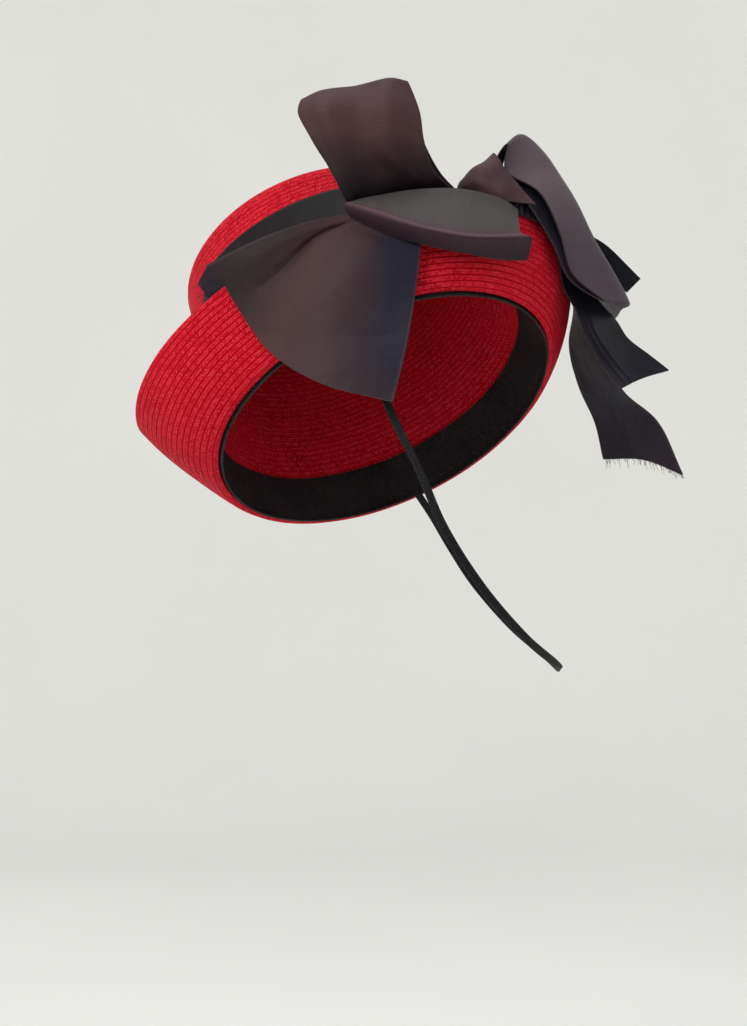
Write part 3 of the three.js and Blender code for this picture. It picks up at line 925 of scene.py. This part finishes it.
for make, node in ((makeBrim, "straw_brim"), (makeCrown, "straw_crown")):
    piece = make()
    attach(piece, "root")
    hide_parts(node)
print("straw brim and crown sewn")


clothLook = {
    "sharpAngle": 50,
    "crumpleScale": 0.045,
    "sewnFade": 12,
}


# Closed cloth between two faces of a grid [along][across], in millimetres
def clothShell(name, outer, inner, material, goesRound=False, insideMaterial=None):
    rows, columns = outer.shape[:2]
    size = rows * columns
    points = np.concatenate([outer.reshape(-1, 3), inner.reshape(-1, 3)])
    faces = []
    spans = rows if goesRound else rows - 1

    def o(r, c):
        return (r % rows) * columns + c

    for r in range(spans):
        for c in range(columns - 1):
            quad = (o(r, c), o(r, c + 1), o(r + 1, c + 1), o(r + 1, c))
            faces.append(quad)
            faces.append(tuple(size + k for k in reversed(quad)))
        faces.append((o(r, 0), o(r + 1, 0), size + o(r + 1, 0), size + o(r, 0)))
        c = columns - 1
        faces.append((size + o(r, c), size + o(r + 1, c), o(r + 1, c), o(r, c)))
    if not goesRound:
        for c in range(columns - 1):
            faces.append((o(0, c + 1), o(0, c), size + o(0, c), size + o(0, c + 1)))
            r = rows - 1
            faces.append((o(r, c), o(r, c + 1), size + o(r, c + 1), size + o(r, c)))
    piece = meshObject(name, points, faces, material)
    if insideMaterial is not None:
        piece.data.materials.append(insideMaterial)
        for polygon in piece.data.polygons:
            polygon.material_index = int(min(polygon.vertices) >= size)
    bm = bmesh.new()
    bm.from_mesh(piece.data)
    bmesh.ops.recalc_face_normals(bm, faces=bm.faces)
    bm.to_mesh(piece.data)
    bm.free()
    sharpenEdges(piece, clothLook["sharpAngle"])
    middle = (outer + inner) / 2
    if goesRound:
        middle = np.concatenate([middle, middle[:1]])
    across = np.concatenate([[0], np.cumsum(np.linalg.norm(np.diff(middle, axis=1), axis=2).mean(axis=0))])
    along = np.concatenate([[0], np.cumsum(np.linalg.norm(np.diff(middle, axis=0), axis=2).mean(axis=1))])
    corner = np.empty(len(piece.data.loops), dtype=np.int32)
    piece.data.loops.foreach_get("vertex_index", corner)
    corner = corner.reshape(-1, 4) % size
    row = corner // columns
    if goesRound:
        atSeam = (row.max(axis=1) == rows - 1) & (row.min(axis=1) == 0)
        row = np.where(atSeam[:, None] & (row == 0), rows, row)
    uvs = np.stack([across[corner % columns] / across[-1], along[row] / hat["ribbonWidth"]], axis=-1)
    faceUv(piece, "ribbon", uvs)
    return piece


def clothNormals(grid):
    return unit(np.cross(np.gradient(grid, axis=0), np.gradient(grid, axis=1)))


# Pressed and soft creases: from and to are (along, across) shares of the piece
def creased(grid, creases):
    rows, columns = grid.shape[:2]
    along = np.linspace(0, 1, rows)[:, None]
    across = np.linspace(0, 1, columns)[None, :]
    normals = clothNormals(grid)
    lift = np.zeros((rows, columns))
    for crease in creases:
        (a0, c0), (a1, c1) = crease["from"], crease["to"]
        da, dc = a1 - a0, c1 - c0
        t = ((along - a0) * da + (across - c0) * dc) / (da * da + dc * dc)
        near = np.clip(t, 0, 1)
        away = np.hypot(along - a0 - near * da, across - c0 - near * dc)
        fade = np.clip(1 - np.abs(t - 0.5) * 2, 0, 1) ** 0.5
        lift += crease["depth"] * np.exp(-((away / crease["width"]) ** 2)) * fade
    return grid + normals * lift[..., None]


def crumpled(grid, depth, scale, seed):
    normals = clothNormals(grid)
    flat = grid.reshape(-1, 3)
    lift = [noise.noise(Vector(p) * scale + Vector((seed, seed * 1.7, 0))) for p in flat]
    lift = np.array(lift).reshape(grid.shape[:2])
    # the sewn end keeps its place
    fade = np.minimum(1, np.linspace(0, 1, grid.shape[0])[:, None] * clothLook["sewnFade"])
    return grid + normals * (lift * fade * depth)[..., None]


def clothGrid(place, folds, along, across):
    shares = np.linspace(0, 1, along + 1)
    lines = []
    for fold in folds:
        points = np.array([(out, back, up) for back, up, out in fold]) * hat["ribbonWidth"] + place
        lines.append(smoothLine(points, shares))
    lines = np.stack(lines, axis=1)
    return np.stack([smoothLine(row, np.linspace(0, 1, across + 1)) for row in lines])


selvedgeLines, cutLines, cutAways = [], [], []


def makeRibbon(name, recipe, place, material, insideMaterial=None):
    grid = clothGrid(place, list(recipe["folds"].values()), recipe["along"], recipe["across"])
    grid = creased(grid, recipe.get("creases", []))
    scale = recipe.get("crumpleScale", clothLook["crumpleScale"])
    grid = crumpled(grid, recipe["crumple"], scale, recipe["seed"])
    normals = clothNormals(grid) * (recipe["thickness"] / 2)
    piece = clothShell(name, grid + normals, grid - normals, material, insideMaterial=insideMaterial)
    selvedgeLines.append(grid[:, 0])
    selvedgeLines.append(grid[:, -1])
    if "frayedShare" in recipe:
        count = round(recipe["frayedShare"] * grid.shape[1])
        cutLines.append(grid[-1][:count])
        cutAways.append(unit(grid[-1] - grid[-3])[:count])
    return piece


# Where each bow is sewn to the rim, in degrees from the front
bowAngles = {"bow_tack": 100.0, "back_tack": 150.0}
bowPlace = worn(brimPoint(bowAngles["bow_tack"], 1.0, 0))
backPlace = worn(brimPoint(bowAngles["back_tack"], 1.0, 0))


def beside(fold, back, up, out):
    return [(p[0] + back, p[1] + up, p[2] + out) for p in fold]


# Folds run from the sewn end: how far back, up and out to the wearer's left, in ribbon widths
bowLoop = {
    "node": "bow_loop",
    "folds": {
        "leftEdge": [
            (-0.03, 0.053, -0.03), (-0.1, 0.2, -0.02), (-0.19, 0.35, -0.02), (-0.245, 0.46, -0.03),
            (-0.228, 0.52, -0.07), (-0.225, 0.46, -0.12), (-0.17, 0.35, -0.16), (-0.09, 0.2, -0.2),
            (0.0, 0.06, -0.2),
        ],
        "roll": [
            (0.01, 0.075, -0.022), (-0.045, 0.2, 0.05), (-0.115, 0.35, 0.06), (-0.16, 0.47, 0.05),
            (-0.15, 0.553, -0.05), (-0.14, 0.46, -0.13), (-0.09, 0.35, -0.18), (-0.03, 0.2, -0.22),
            (0.03, 0.07, -0.22),
        ],
        "hollow": [
            (0.12, 0.11, -0.08), (0.07, 0.21, -0.01), (0.02, 0.35, 0.03), (0.0, 0.48, 0.04),
            (0.0, 0.578, -0.05), (0.0, 0.48, -0.12), (0.03, 0.35, -0.18), (0.08, 0.2, -0.22),
            (0.14, 0.07, -0.24),
        ],
        "ridge": [
            (0.3, 0.135, -0.14), (0.22, 0.22, -0.03), (0.16, 0.35, 0.07), (0.14, 0.48, 0.08),
            (0.15, 0.605, -0.03), (0.15, 0.48, -0.12), (0.18, 0.35, -0.18), (0.24, 0.21, -0.22),
            (0.32, 0.09, -0.26),
        ],
        "rightEdge": [
            (0.43, 0.14, -0.2), (0.33, 0.23, -0.08), (0.295, 0.34, -0.03), (0.278, 0.46, -0.03),
            (0.225, 0.598, -0.06), (0.26, 0.46, -0.11), (0.3, 0.34, -0.15), (0.37, 0.22, -0.2),
            (0.48, 0.12, -0.28),
        ],
    },
    "along": 150,
    "across": 60,
    "thickness": 0.7,
    "crumple": 0.8,
    "seed": 4,
    "creases": [
        {"from": (0.12, 0.2), "to": (0.46, 0.3), "depth": 0.8, "width": 0.035},
        {"from": (0.2, 0.55), "to": (0.47, 0.62), "depth": 1.0, "width": 0.09},
        {"from": (0.08, 0.8), "to": (0.3, 0.5), "depth": -1.2, "width": 0.05},
        {"from": (0.06, 0.3), "to": (0.22, 0.85), "depth": 0.8, "width": 0.04},
    ],
    "held": "folded",
    "restsOn": "bow-tack",
}
bowFlap = {
    "node": "bow_flap",
    "folds": {
        "topEdge": [(-0.02, 0.01, 0.05), (-0.17, -0.02, 0.07), (-0.41, -0.1, 0.06), (-0.64, -0.21, 0.02)],
        "facet": [(0.0, 0.0, 0.06), (-0.2, -0.07, 0.08), (-0.42, -0.17, 0.08), (-0.57, -0.28, 0.03)],
        "valley": [(0.03, -0.01, 0.06), (-0.16, -0.08, 0.07), (-0.32, -0.24, 0.09), (-0.51, -0.38, 0.05)],
        "ridge": [(0.12, -0.05, 0.08), (-0.01, -0.23, 0.17), (-0.2, -0.44, 0.19), (-0.37, -0.58, 0.14)],
        "fall": [(0.2, -0.08, 0.09), (0.13, -0.32, 0.18), (0.0, -0.56, 0.25), (-0.14, -0.73, 0.28)],
        "rightEdge": [(0.28, -0.12, 0.09), (0.26, -0.3, 0.15), (0.22, -0.55, 0.25), (0.16, -0.81, 0.32)],
    },
    "along": 110,
    "across": 110,
    "thickness": 0.7,
    "crumple": 1.0,
    "seed": 9,
    "frayedShare": 0.22,
    "creases": [
        {"from": (0.1, 0.38), "to": (0.85, 0.4), "depth": -2.2, "width": 0.03},
        {"from": (0.62, 0.98), "to": (0.6, 0.78), "depth": -0.9, "width": 0.03},
    ],
    "held": "laid",
    "restsOn": "brim",
}
bowTail = {
    "node": "bow_tail",
    "folds": {
        "topEdge": [
            (-0.01, 0.07, 0.0), (0.11, 0.1, -0.02), (0.28, 0.125, -0.04), (0.46, 0.135, -0.1),
            (0.64, 0.105, -0.2), (0.715, 0.065, -0.25),
        ],
        "slope": [
            (-0.02, 0.06, 0.05), (0.11, 0.05, 0.07), (0.28, 0.035, 0.08), (0.455, 0.015, 0.05),
            (0.63, 0.0, -0.04), (0.71, -0.005, -0.12),
        ],
        "aboveFold": [
            (-0.035, 0.053, 0.09), (0.11, 0.005, 0.14), (0.28, -0.05, 0.16), (0.45, -0.08, 0.13),
            (0.61, -0.08, 0.05), (0.72, -0.065, -0.04),
        ],
        "fold": [
            (-0.045, 0.044, 0.1), (0.11, -0.012, 0.155), (0.28, -0.065, 0.175), (0.45, -0.096, 0.145),
            (0.625, -0.095, 0.06), (0.765, -0.08, -0.05),
        ],
        "underFold": [
            (-0.04, 0.03, 0.095), (0.11, -0.026, 0.145), (0.28, -0.08, 0.165), (0.45, -0.11, 0.13),
            (0.625, -0.113, 0.045), (0.765, -0.096, -0.065),
        ],
        "lowerEdge": [
            (-0.02, 0.0, 0.07), (0.13, -0.072, 0.1), (0.287, -0.124, 0.11), (0.43, -0.152, 0.075),
            (0.585, -0.172, 0.0), (0.75, -0.168, -0.12),
        ],
    },
    "along": 100,
    "across": 60,
    "thickness": 0.7,
    "crumple": 0.7,
    "seed": 13,
    "held": "folded",
    "restsOn": "brim",
}
backPuff = {
    "node": "back_puff",
    "folds": {
        "nearFoot": [(-0.28, 0.06, 0.0), (-0.132, 0.032, 0.085), (0.03, 0.01, 0.1)],
        "nearSide": [(-0.31, 0.09, -0.01), (-0.24, 0.12, 0.08), (-0.1, 0.17, 0.06)],
        "top": [(-0.295, 0.125, -0.05), (-0.24, 0.19, -0.04), (-0.147, 0.245, 0.0)],
        "farSide": [(-0.27, 0.09, -0.1), (-0.22, 0.11, -0.14), (-0.15, 0.13, -0.13)],
    },
    "along": 50,
    "across": 60,
    "thickness": 0.7,
    "crumple": 1.5,
    "crumpleScale": 0.1,
    "seed": 21,
    "held": "gathered",
    "restsOn": "back-tack",
}
loopCrest = [
    (-0.105, 0.1, -0.14), (-0.105, 0.23, -0.14), (-0.03, 0.35, -0.14), (0.07, 0.28, -0.14),
    (0.185, 0.115, -0.14), (0.29, -0.08, -0.14), (0.39, -0.26, -0.14), (0.465, -0.41, -0.14),
    (0.35, -0.3, -0.14), (0.26, -0.1, -0.14), (0.1, 0.13, -0.14), (-0.07, 0.24, -0.14),
]
backLoop = {
    "node": "back_loop",
    "folds": {
        "nearEdge": [
            (-0.125, 0.07, -0.04), (-0.148, 0.2, -0.03), (-0.09, 0.29, -0.02), (-0.098, 0.17, 0.02),
            (0.05, 0.075, 0.02), (0.14, -0.1, 0.02), (0.2, -0.29, 0.02), (0.34, -0.41, 0.02),
            (0.19, -0.32, 0.02), (0.105, -0.15, 0.04), (-0.01, 0.021, 0.068), (-0.1, 0.095, 0.035),
        ],
        "crest": loopCrest,
        "farSide": beside(loopCrest, -0.01, -0.01, -0.22),
        "farEdge": beside(loopCrest, -0.02, -0.03, -0.42),
    },
    "along": 260,
    "across": 50,
    "thickness": 0.6,
    "crumple": 0.8,
    "seed": 31,
    "creases": [
        {"from": (0.3, 0.2), "to": (0.5, 0.17), "depth": 0.6, "width": 0.018},
    ],
    "held": "folded",
    "restsOn": "back-tack",
}
backTailUpper = {
    "node": "back_tail_upper",
    "folds": {
        "upperEdge": [(0.275, -0.055, -0.39), (0.395, -0.12, -0.41), (0.55, -0.27, -0.44)],
        "lowerEdge": [(0.385, -0.26, -0.39), (0.43, -0.3, -0.38), (0.485, -0.335, -0.375)],
    },
    "along": 50,
    "across": 40,
    "thickness": 0.7,
    "crumple": 0.8,
    "seed": 41,
    "held": "hung",
    "restsOn": "back-loop",
}
backTailMiddle = {
    "node": "back_tail_middle",
    "folds": {
        "nearEdge": [
            (0.14, -0.13, -0.1), (0.168, -0.34, -0.06), (0.215, -0.45, -0.03), (0.25, -0.55, -0.04),
            (0.34, -0.7, -0.04), (0.42, -0.8, -0.04),
        ],
        "pleat": [
            (0.19, -0.13, -0.16), (0.25, -0.36, -0.17), (0.33, -0.46, -0.19), (0.37, -0.56, -0.2),
            (0.46, -0.68, -0.2), (0.53, -0.745, -0.2),
        ],
        "farEdge": [
            (0.225, -0.12, -0.25), (0.33, -0.36, -0.3), (0.43, -0.47, -0.34), (0.48, -0.55, -0.34),
            (0.58, -0.63, -0.34), (0.67, -0.7, -0.34),
        ],
    },
    "along": 100,
    "across": 60,
    "thickness": 0.7,
    "crumple": 0.7,
    "seed": 51,
    "creases": [
        {"from": (0.3, 0.12), "to": (1.0, 0.16), "depth": 1.0, "width": 0.025},
        {"from": (0.3, 0.25), "to": (1.0, 0.32), "depth": 0.8, "width": 0.03},
    ],
    "held": "hung",
    "restsOn": "brim",
}
backTailLower = {
    "node": "back_tail_lower",
    "folds": {
        "farEdge": [
            (0.24, -0.26, -0.5), (0.255, -0.4, -0.57), (0.235, -0.55, -0.6), (0.28, -0.74, -0.6),
            (0.36, -0.94, -0.6), (0.4, -1.1, -0.6),
        ],
        "middle": [
            (0.25, -0.2, -0.37), (0.275, -0.39, -0.42), (0.28, -0.57, -0.42), (0.37, -0.77, -0.42),
            (0.48, -0.94, -0.4), (0.56, -1.11, -0.4),
        ],
        "nearEdge": [
            (0.225, -0.17, -0.25), (0.265, -0.4, -0.26), (0.33, -0.6, -0.26), (0.46, -0.8, -0.26),
            (0.6, -0.93, -0.25), (0.725, -1.18, -0.25),
        ],
    },
    "along": 120,
    "across": 60,
    "thickness": 0.7,
    "crumple": 1.0,
    "seed": 61,
    "frayedShare": 1.0,
    "held": "hung",
    "restsOn": "back-tail-middle",
}

# bow loop: painted shade, near black at the sewn foot in the valley, lighter up the loop and darker again on
# the back ply
loopLightAndShade = [
    (0.14, (0.003, 0.002, 0.004, 1)), (0.32, (0.026, 0.014, 0.016, 1)), (0.45, (0.056, 0.027, 0.029, 1)),
    (0.7, (0.060, 0.031, 0.035, 1)), (0.95, (0.036, 0.019, 0.022, 1)),
]
# bow flap: painted light and shade, a ramp across and along the flap from dark through brown to a shaded
# blue-black
flapLightAndShade = [
    (0.02, (0.020, 0.013, 0.014, 1)), (0.32, (0.048, 0.023, 0.025, 1)), (0.52, (0.038, 0.021, 0.023, 1)),
    (0.72, (0.013, 0.012, 0.023, 1)),
]
# bow tail: painted light and shade across the ribbon, a grey upper face, a painted highlight along the fold
# and a dark shaded band below it
tailLightAndShade = [
    (0.0, (0.046, 0.042, 0.042, 1)), (0.55, (0.062, 0.055, 0.055, 1)), (0.66, (0.060, 0.040, 0.046, 1)),
    (0.70, (0.100, 0.058, 0.068, 1)), (0.75, (0.034, 0.018, 0.025, 1)), (1.0, (0.020, 0.011, 0.017, 1)),
]
puffTones = [
    (0.2, (0.020, 0.011, 0.014, 1)), (0.5, (0.050, 0.027, 0.031, 1)), (0.8, (0.080, 0.047, 0.054, 1)),
]
# back loop: painted light and shade along the loop, dark on the first leg, a painted sheen on the falling
# face, darker again on the return ply
backLoopLightAndShade = [
    (0.1, (0.030, 0.020, 0.026, 1)), (0.35, (0.100, 0.075, 0.088, 1)), (0.6, (0.064, 0.048, 0.060, 1)),
    (0.9, (0.048, 0.036, 0.048, 1)),
]
# near-black taffeta as painted shade, for the tacks, the inner ply and the inner faces of the back loop and
# puff
shadedTones = [
    (0.2, (0.003, 0.003, 0.006, 1)), (0.5, (0.010, 0.008, 0.014, 1)), (0.8, (0.020, 0.014, 0.021, 1)),
]
# back tails: painted shade, near black at the sewn end under the loop, a little lighter down the tails
hangingShadeTones = [
    (0.1, (0.002, 0.002, 0.005, 1)), (0.5, (0.006, 0.005, 0.012, 1)), (0.9, (0.020, 0.013, 0.020, 1)),
]
bandTones = [
    (0.2, (0.004, 0.003, 0.004, 1)), (0.5, (0.008, 0.005, 0.006, 1)), (0.8, (0.014, 0.009, 0.011, 1)),
]

taffetas = {
    "bow_loop": taffetaOf("taffetaLoop", tones=loopLightAndShade, alongStart=0.1, alongWeight=1.1, driftWeight=0.5),
    "bow_flap": taffetaOf(
        "taffetaFlap", tones=flapLightAndShade, alongStart=0.2, acrossWeight=0.8, alongWeight=-0.5, driftWeight=0.5,
    ),
    "bow_tail": taffetaOf("taffetaTail", tones=tailLightAndShade, alongStart=0.0, acrossWeight=1.0, driftWeight=0.04),
    "back_puff": taffetaOf("taffetaPuff", tones=puffTones, driftScale=40.0),
    "back_loop": taffetaOf(
        "taffetaBackLoopLit", tones=backLoopLightAndShade, alongStart=0.1, alongWeight=0.55, driftWeight=0.5,
    ),
}
shadedTaffeta = taffetaOf("taffetaShaded", tones=shadedTones, gloss=0.08, sheen=0.0)
hangingShadedTaffeta = taffetaOf(
    "taffetaHangingShaded", tones=hangingShadeTones, alongStart=0.0, alongWeight=0.75, driftWeight=0.4, sheen=0.02,
)
bandTaffeta = taffetaOf("taffetaBand", tones=bandTones, sheen=0.02)


def roundRibbon(name, angles, heightsAt, outAt, thickness, material):
    def face(out):
        grid = []
        for angle in angles:
            heights = heightsAt(angle)
            grid.append(crownPoint(angle, heights, outAt(angle, heights) + out))
        return worn(np.stack(grid))

    return clothShell(name, face(thickness), face(0.0), material, goesRound=True)


hatBand = {
    "foot": 9,
    "top": 83,
    "dip": 18,
    "dipBegins": (-80, -30),
    "dipEnds": (30, 48),
    "folds": [(0, 0.1), (0.2, 0.8), (0.38, 0.2), (0.62, 1.0), (0.85, 0.3), (1, 0.15)],
    "clearance": 0.55,
    "standOff": 1.9,
    "longWave": 0.05,
    "shortWave": 0.03,
    "wrinkle": 0.18,
    "wrinkles": 19,
    "thickness": 0.8,
    "columns": 200,
    "rows": 44,
}


def makeHatBand():
    angles = np.arange(hatBand["columns"]) * 360.0 / hatBand["columns"]
    folds = np.array(hatBand["folds"])

    def smoothStep(value, low, high):
        t = min(1, max(0, (value - low) / (high - low)))
        return t * t * (3 - 2 * t)

    def edgeAt(angle):
        fromFront = angle - 360 if angle > 180 else angle
        dip = smoothStep(fromFront, *hatBand["dipBegins"]) * (1 - smoothStep(fromFront, *hatBand["dipEnds"]))
        return hatBand["top"] - hatBand["dip"] * dip

    def heightsAt(angle):
        return np.linspace(hatBand["foot"], edgeAt(angle), hatBand["rows"] + 1)

    def outAt(angle, height):
        a = radians(angle)
        share = (height - hatBand["foot"]) / (edgeAt(angle) - hatBand["foot"])
        sway = hatBand["longWave"] * np.sin(a * 2 + 1) + hatBand["shortWave"] * np.sin(a * 5)
        soft = np.interp(share + sway, folds[:, 0], folds[:, 1])
        wrinkle = hatBand["wrinkle"] * np.sin(share * hatBand["wrinkles"] + 3 * np.sin(a * 3))
        return hatBand["clearance"] + hatBand["standOff"] * np.clip(soft + wrinkle * soft, 0, 1)

    return roundRibbon("hat-band", angles, heightsAt, outAt, hatBand["thickness"], bandTaffeta)


headBand = {
    "height": 22,
    "drop": 1.5,
    "thickness": 0.9,
    "columns": 220,
    "rows": 24,
    "stitchHeight": 2.6,
    "slack": 0.1,
    "wave": 0.25,
    "waves": 9,
    "ribs": 85,
}


def innerBandMaterial():
    material, tree, shader = newMaterial("grosgrain")
    along = uvOf(tree, "ribbon")[1]
    ribs = maths(tree, "SINE", maths(tree, "MULTIPLY", along, 2 * pi * headBand["ribs"]))
    wear = noiseAt(tree, objectPlace(tree), 45.0, 4.0)
    colour = ramp(tree, maths(tree, "MULTIPLY_ADD", ribs, 0.16, wear), [
        (0.3, (0.006, 0.005, 0.006, 1)), (0.6, (0.013, 0.011, 0.012, 1)), (0.85, (0.026, 0.021, 0.023, 1)),
    ])
    dress(tree, shader, colour, bumped(tree, ribs, 0.6, 0.3 * mm), 0.62, 0.2)
    return material


def makeHeadBand():
    angles = np.arange(headBand["columns"]) * 360.0 / headBand["columns"]
    heights = np.linspace(-headBand["drop"], headBand["height"], headBand["rows"] + 1)

    def face(inwards):
        grid = []
        for angle in angles:
            wave = headBand["wave"] * np.sin(radians(angle) * headBand["waves"])
            wave = wave * np.clip(heights / headBand["height"], 0, 1)
            line = crownPoint(angle, np.maximum(heights, crownFoot), -hat["strawWall"] - inwards)
            line[:, 2] = heights + wave
            grid.append(line)
        return worn(np.stack(grid))

    near = hat["pieceGap"] + headBand["slack"]
    far = near + headBand["thickness"]
    band = clothShell("head-band", face(near), face(far), innerBandMaterial(), goesRound=True)
    line = crownPoint(angles, crownFoot, -hat["strawWall"] - far - headBand["slack"])
    line[:, 2] = headBand["stitchHeight"]
    sewn = grown(
        linesObject("head-band-stitches", [worn(line)], closed=True), stitches,
        Spacing=6.5 * mm, Length=3.4 * mm, Radius=0.28 * mm, Material=sewingThread,
    )
    return band, sewn


bowTacks = {
    "angle": 12,
    "thickness": 2.6,
    "depth": 6,
    "pleats": 6,
    "pleatFloor": 0.72,
    "pleatSway": 0.8,
    "slack": 0.25,
    "along": 44,
    "over": 48,
}


# Gathered middle of a bow, pleated and hooked over the rim
def makeTack(node):
    middle = bowAngles[node]
    angles = middle + np.linspace(-0.5, 0.5, bowTacks["along"] + 1) * bowTacks["angle"]
    shareLength = np.linalg.norm(brimLine(middle, 1.0) - brimLine(middle, 0.9)) / 0.1
    foot = 1 - bowTacks["depth"] / shareLength

    def face(off):
        rows = []
        for angle, o in zip(angles, off):
            over = 1 + o / shareLength
            inside = -hat["strawWall"] - o
            halfway = (1 + foot) / 2
            path = [
                (foot, inside), (halfway, inside), (1.0, inside), (over, -hat["strawWall"]),
                (over, 0.0), (1.0, o), (halfway, o), (foot, o),
            ]
            corners = np.array([brimPoint(angle, share, out) for share, out in path])
            rows.append(smoothLine(corners, np.linspace(0, 1, bowTacks["over"] + 1)))
        return worn(np.stack(rows))

    turns = np.linspace(0, 2 * pi * bowTacks["pleats"], bowTacks["along"] + 1)
    ridges = np.cos(turns + bowTacks["pleatSway"] * np.sin(turns * 0.37))
    pleats = bowTacks["pleatFloor"] + (1 - bowTacks["pleatFloor"]) * ridges
    near = hat["pieceGap"] + bowTacks["slack"]
    outer = face(near + bowTacks["thickness"] * pleats)
    inner = face(np.full(len(angles), near))
    return clothShell(node.replace("_", "-"), outer, inner, shadedTaffeta)


innerPly = {
    "angles": [92, 82, 73, 66, 60],
    "foot": [0.82, 0.84, 0.88, 0.92, 0.98],
    "top": [1.02, 1.06, 1.16, 1.26, 1.2],
    "along": 60,
    "across": 24,
    "thickness": 0.8,
    "inwards": 0.8,
    "ripple": 0.5,
}


def makeInnerPly():
    shares = np.linspace(0, 1, innerPly["along"] + 1)
    table = smoothLine(np.array([innerPly["angles"], innerPly["foot"], innerPly["top"]], float).T, shares)
    across = np.linspace(0, 1, innerPly["across"] + 1)
    rows = []
    for angle, foot, top in table:
        ripple = innerPly["ripple"] * np.sin(across * 9 + angle / 4) ** 2
        out = -hat["strawWall"] - innerPly["inwards"] - ripple
        rows.append(brimPoint(angle, foot + (top - foot) * across, out[:, None]))
    grid = worn(np.stack(rows))
    normals = clothNormals(grid) * (innerPly["thickness"] / 2)
    piece = clothShell("bow-inner-ply", grid + normals, grid - normals, shadedTaffeta)
    cutLines.append(grid[-1])
    cutAways.append(unit(grid[-1] - grid[-3]))
    return piece


headBandPiece, headBandSewn = makeHeadBand()
for piece, node, slot, held, restsOn in (
    (makeHatBand(), "hat_band", "taffeta", "laid", "crown"),
    (headBandPiece, "head_band", "inner_band", "laid", "crown"),
    (makeTack("bow_tack"), "bow_tack", "taffeta", None, None),
    (makeTack("back_tack"), "back_tack", "taffeta", None, None),
    (makeInnerPly(), "bow_inner_ply", "taffeta", "laid", "brim"),
):
    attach(piece, "root")
    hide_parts(node)
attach(headBandSewn, "root")
print("bands, tacks and inner ply in place")

for recipe, place in (
    (bowLoop, bowPlace), (bowFlap, bowPlace), (bowTail, bowPlace),
    (backPuff, backPlace), (backLoop, backPlace),
    (backTailUpper, backPlace), (backTailMiddle, backPlace), (backTailLower, backPlace),
):
    node = recipe["node"]
    # painted shade: the inner faces of the back loop and puff take the near-black taffeta
    inside = shadedTaffeta if node in ("back_loop", "back_puff") else None
    piece = makeRibbon(node.replace("_", "-"), recipe, place, taffetas.get(node, hangingShadedTaffeta), inside)
    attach(piece, "root")
    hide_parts(node)

selvedges = grown(
    linesObject("selvedges", selvedgeLines), edgeCord,
    Radius=0.36 * mm, Sides=6, Material=selvedgeThread,
)
frayed = grown(
    linesObject("frayed-threads", cutLines, away=cutAways), fray,
    Spacing=0.5 * mm, Longest=4.5 * mm, Radius=0.09 * mm, Spread=0.45, Seed=7, Material=cutThread,
)
for piece in (selvedges, frayed):
    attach(piece, "root")

# Floor that curves up into a round wall, and soft lights
studio = {
    "floor": -0.42,
    "flat": 1.6,
    "bend": 0.7,
    "wall": 2.6,
    "colour": (0.86, 0.86, 0.84, 1),
}


def makeStudio():
    material, tree, shader = newMaterial("palePaper")
    grain = noiseAt(tree, objectPlace(tree), 3.0, 2.0)
    pale = studio["colour"]
    slightlyDarker = (pale[0] * 0.97, pale[1] * 0.97, pale[2] * 0.97, 1)
    dress(tree, shader, ramp(tree, grain, [(0.3, slightlyDarker), (0.7, pale)]), roughness=0.9)
    profile = [(0.0, 0.0), (studio["flat"], 0.0)]
    for k in range(1, 13):
        a = k / 12 * pi / 2
        profile.append((studio["flat"] + studio["bend"] * np.sin(a), studio["bend"] * (1 - np.cos(a))))
    profile.append((studio["flat"] + studio["bend"], studio["wall"]))
    around = 96
    points = [(0, 0, studio["floor"])]
    for radius, height in profile[1:]:
        for k in range(around):
            a = 2 * pi * k / around
            points.append((radius * np.cos(a), radius * np.sin(a), studio["floor"] + height))
    faces = [(0, 1 + k, 1 + (k + 1) % around) for k in range(around)]
    for r in range(len(profile) - 2):
        for k in range(around):
            a, b = 1 + r * around, 1 + (r + 1) * around
            faces.append((a + k, b + k, b + (k + 1) % around, a + (k + 1) % around))
    floor = meshObject("floor", np.array(points) / mm, faces, material)


def softLight(name, place, aim, width, height, power, colour):
    data = bpy.data.lights.new(name, "AREA")
    data.shape = "RECTANGLE"
    data.size = width
    data.size_y = height
    data.energy = power
    data.color = colour
    light = bpy.data.objects.new(name, data)
    light.location = place
    light.rotation_euler = (Vector(aim) - Vector(place)).to_track_quat("-Z", "Y").to_euler()
    bpy.context.collection.objects.link(light)


makeStudio()
softLight("windowLight", (1.3, -1.0, 1.2), (0, 0, 0), 0.9, 0.9, 25, (1.0, 0.98, 0.96))
softLight("topLight", (0.0, -0.1, 1.9), (0, 0, 0), 1.6, 1.6, 17, (1.0, 1.0, 1.0))
softLight("fillLight", (0.9, 1.3, 0.6), (0, 0, 0), 1.2, 1.2, 1.0, (0.97, 0.98, 1.0))
world = bpy.data.worlds.new("paleRoom")
world.use_nodes = True
world.node_tree.nodes["Background"].inputs[0].default_value = (0.93, 0.94, 0.95, 1)
world.node_tree.nodes["Background"].inputs[1].default_value = 0.42
bpy.context.scene.world = world
bpy.context.scene.view_settings.view_transform = "Standard"
print("studio lit")
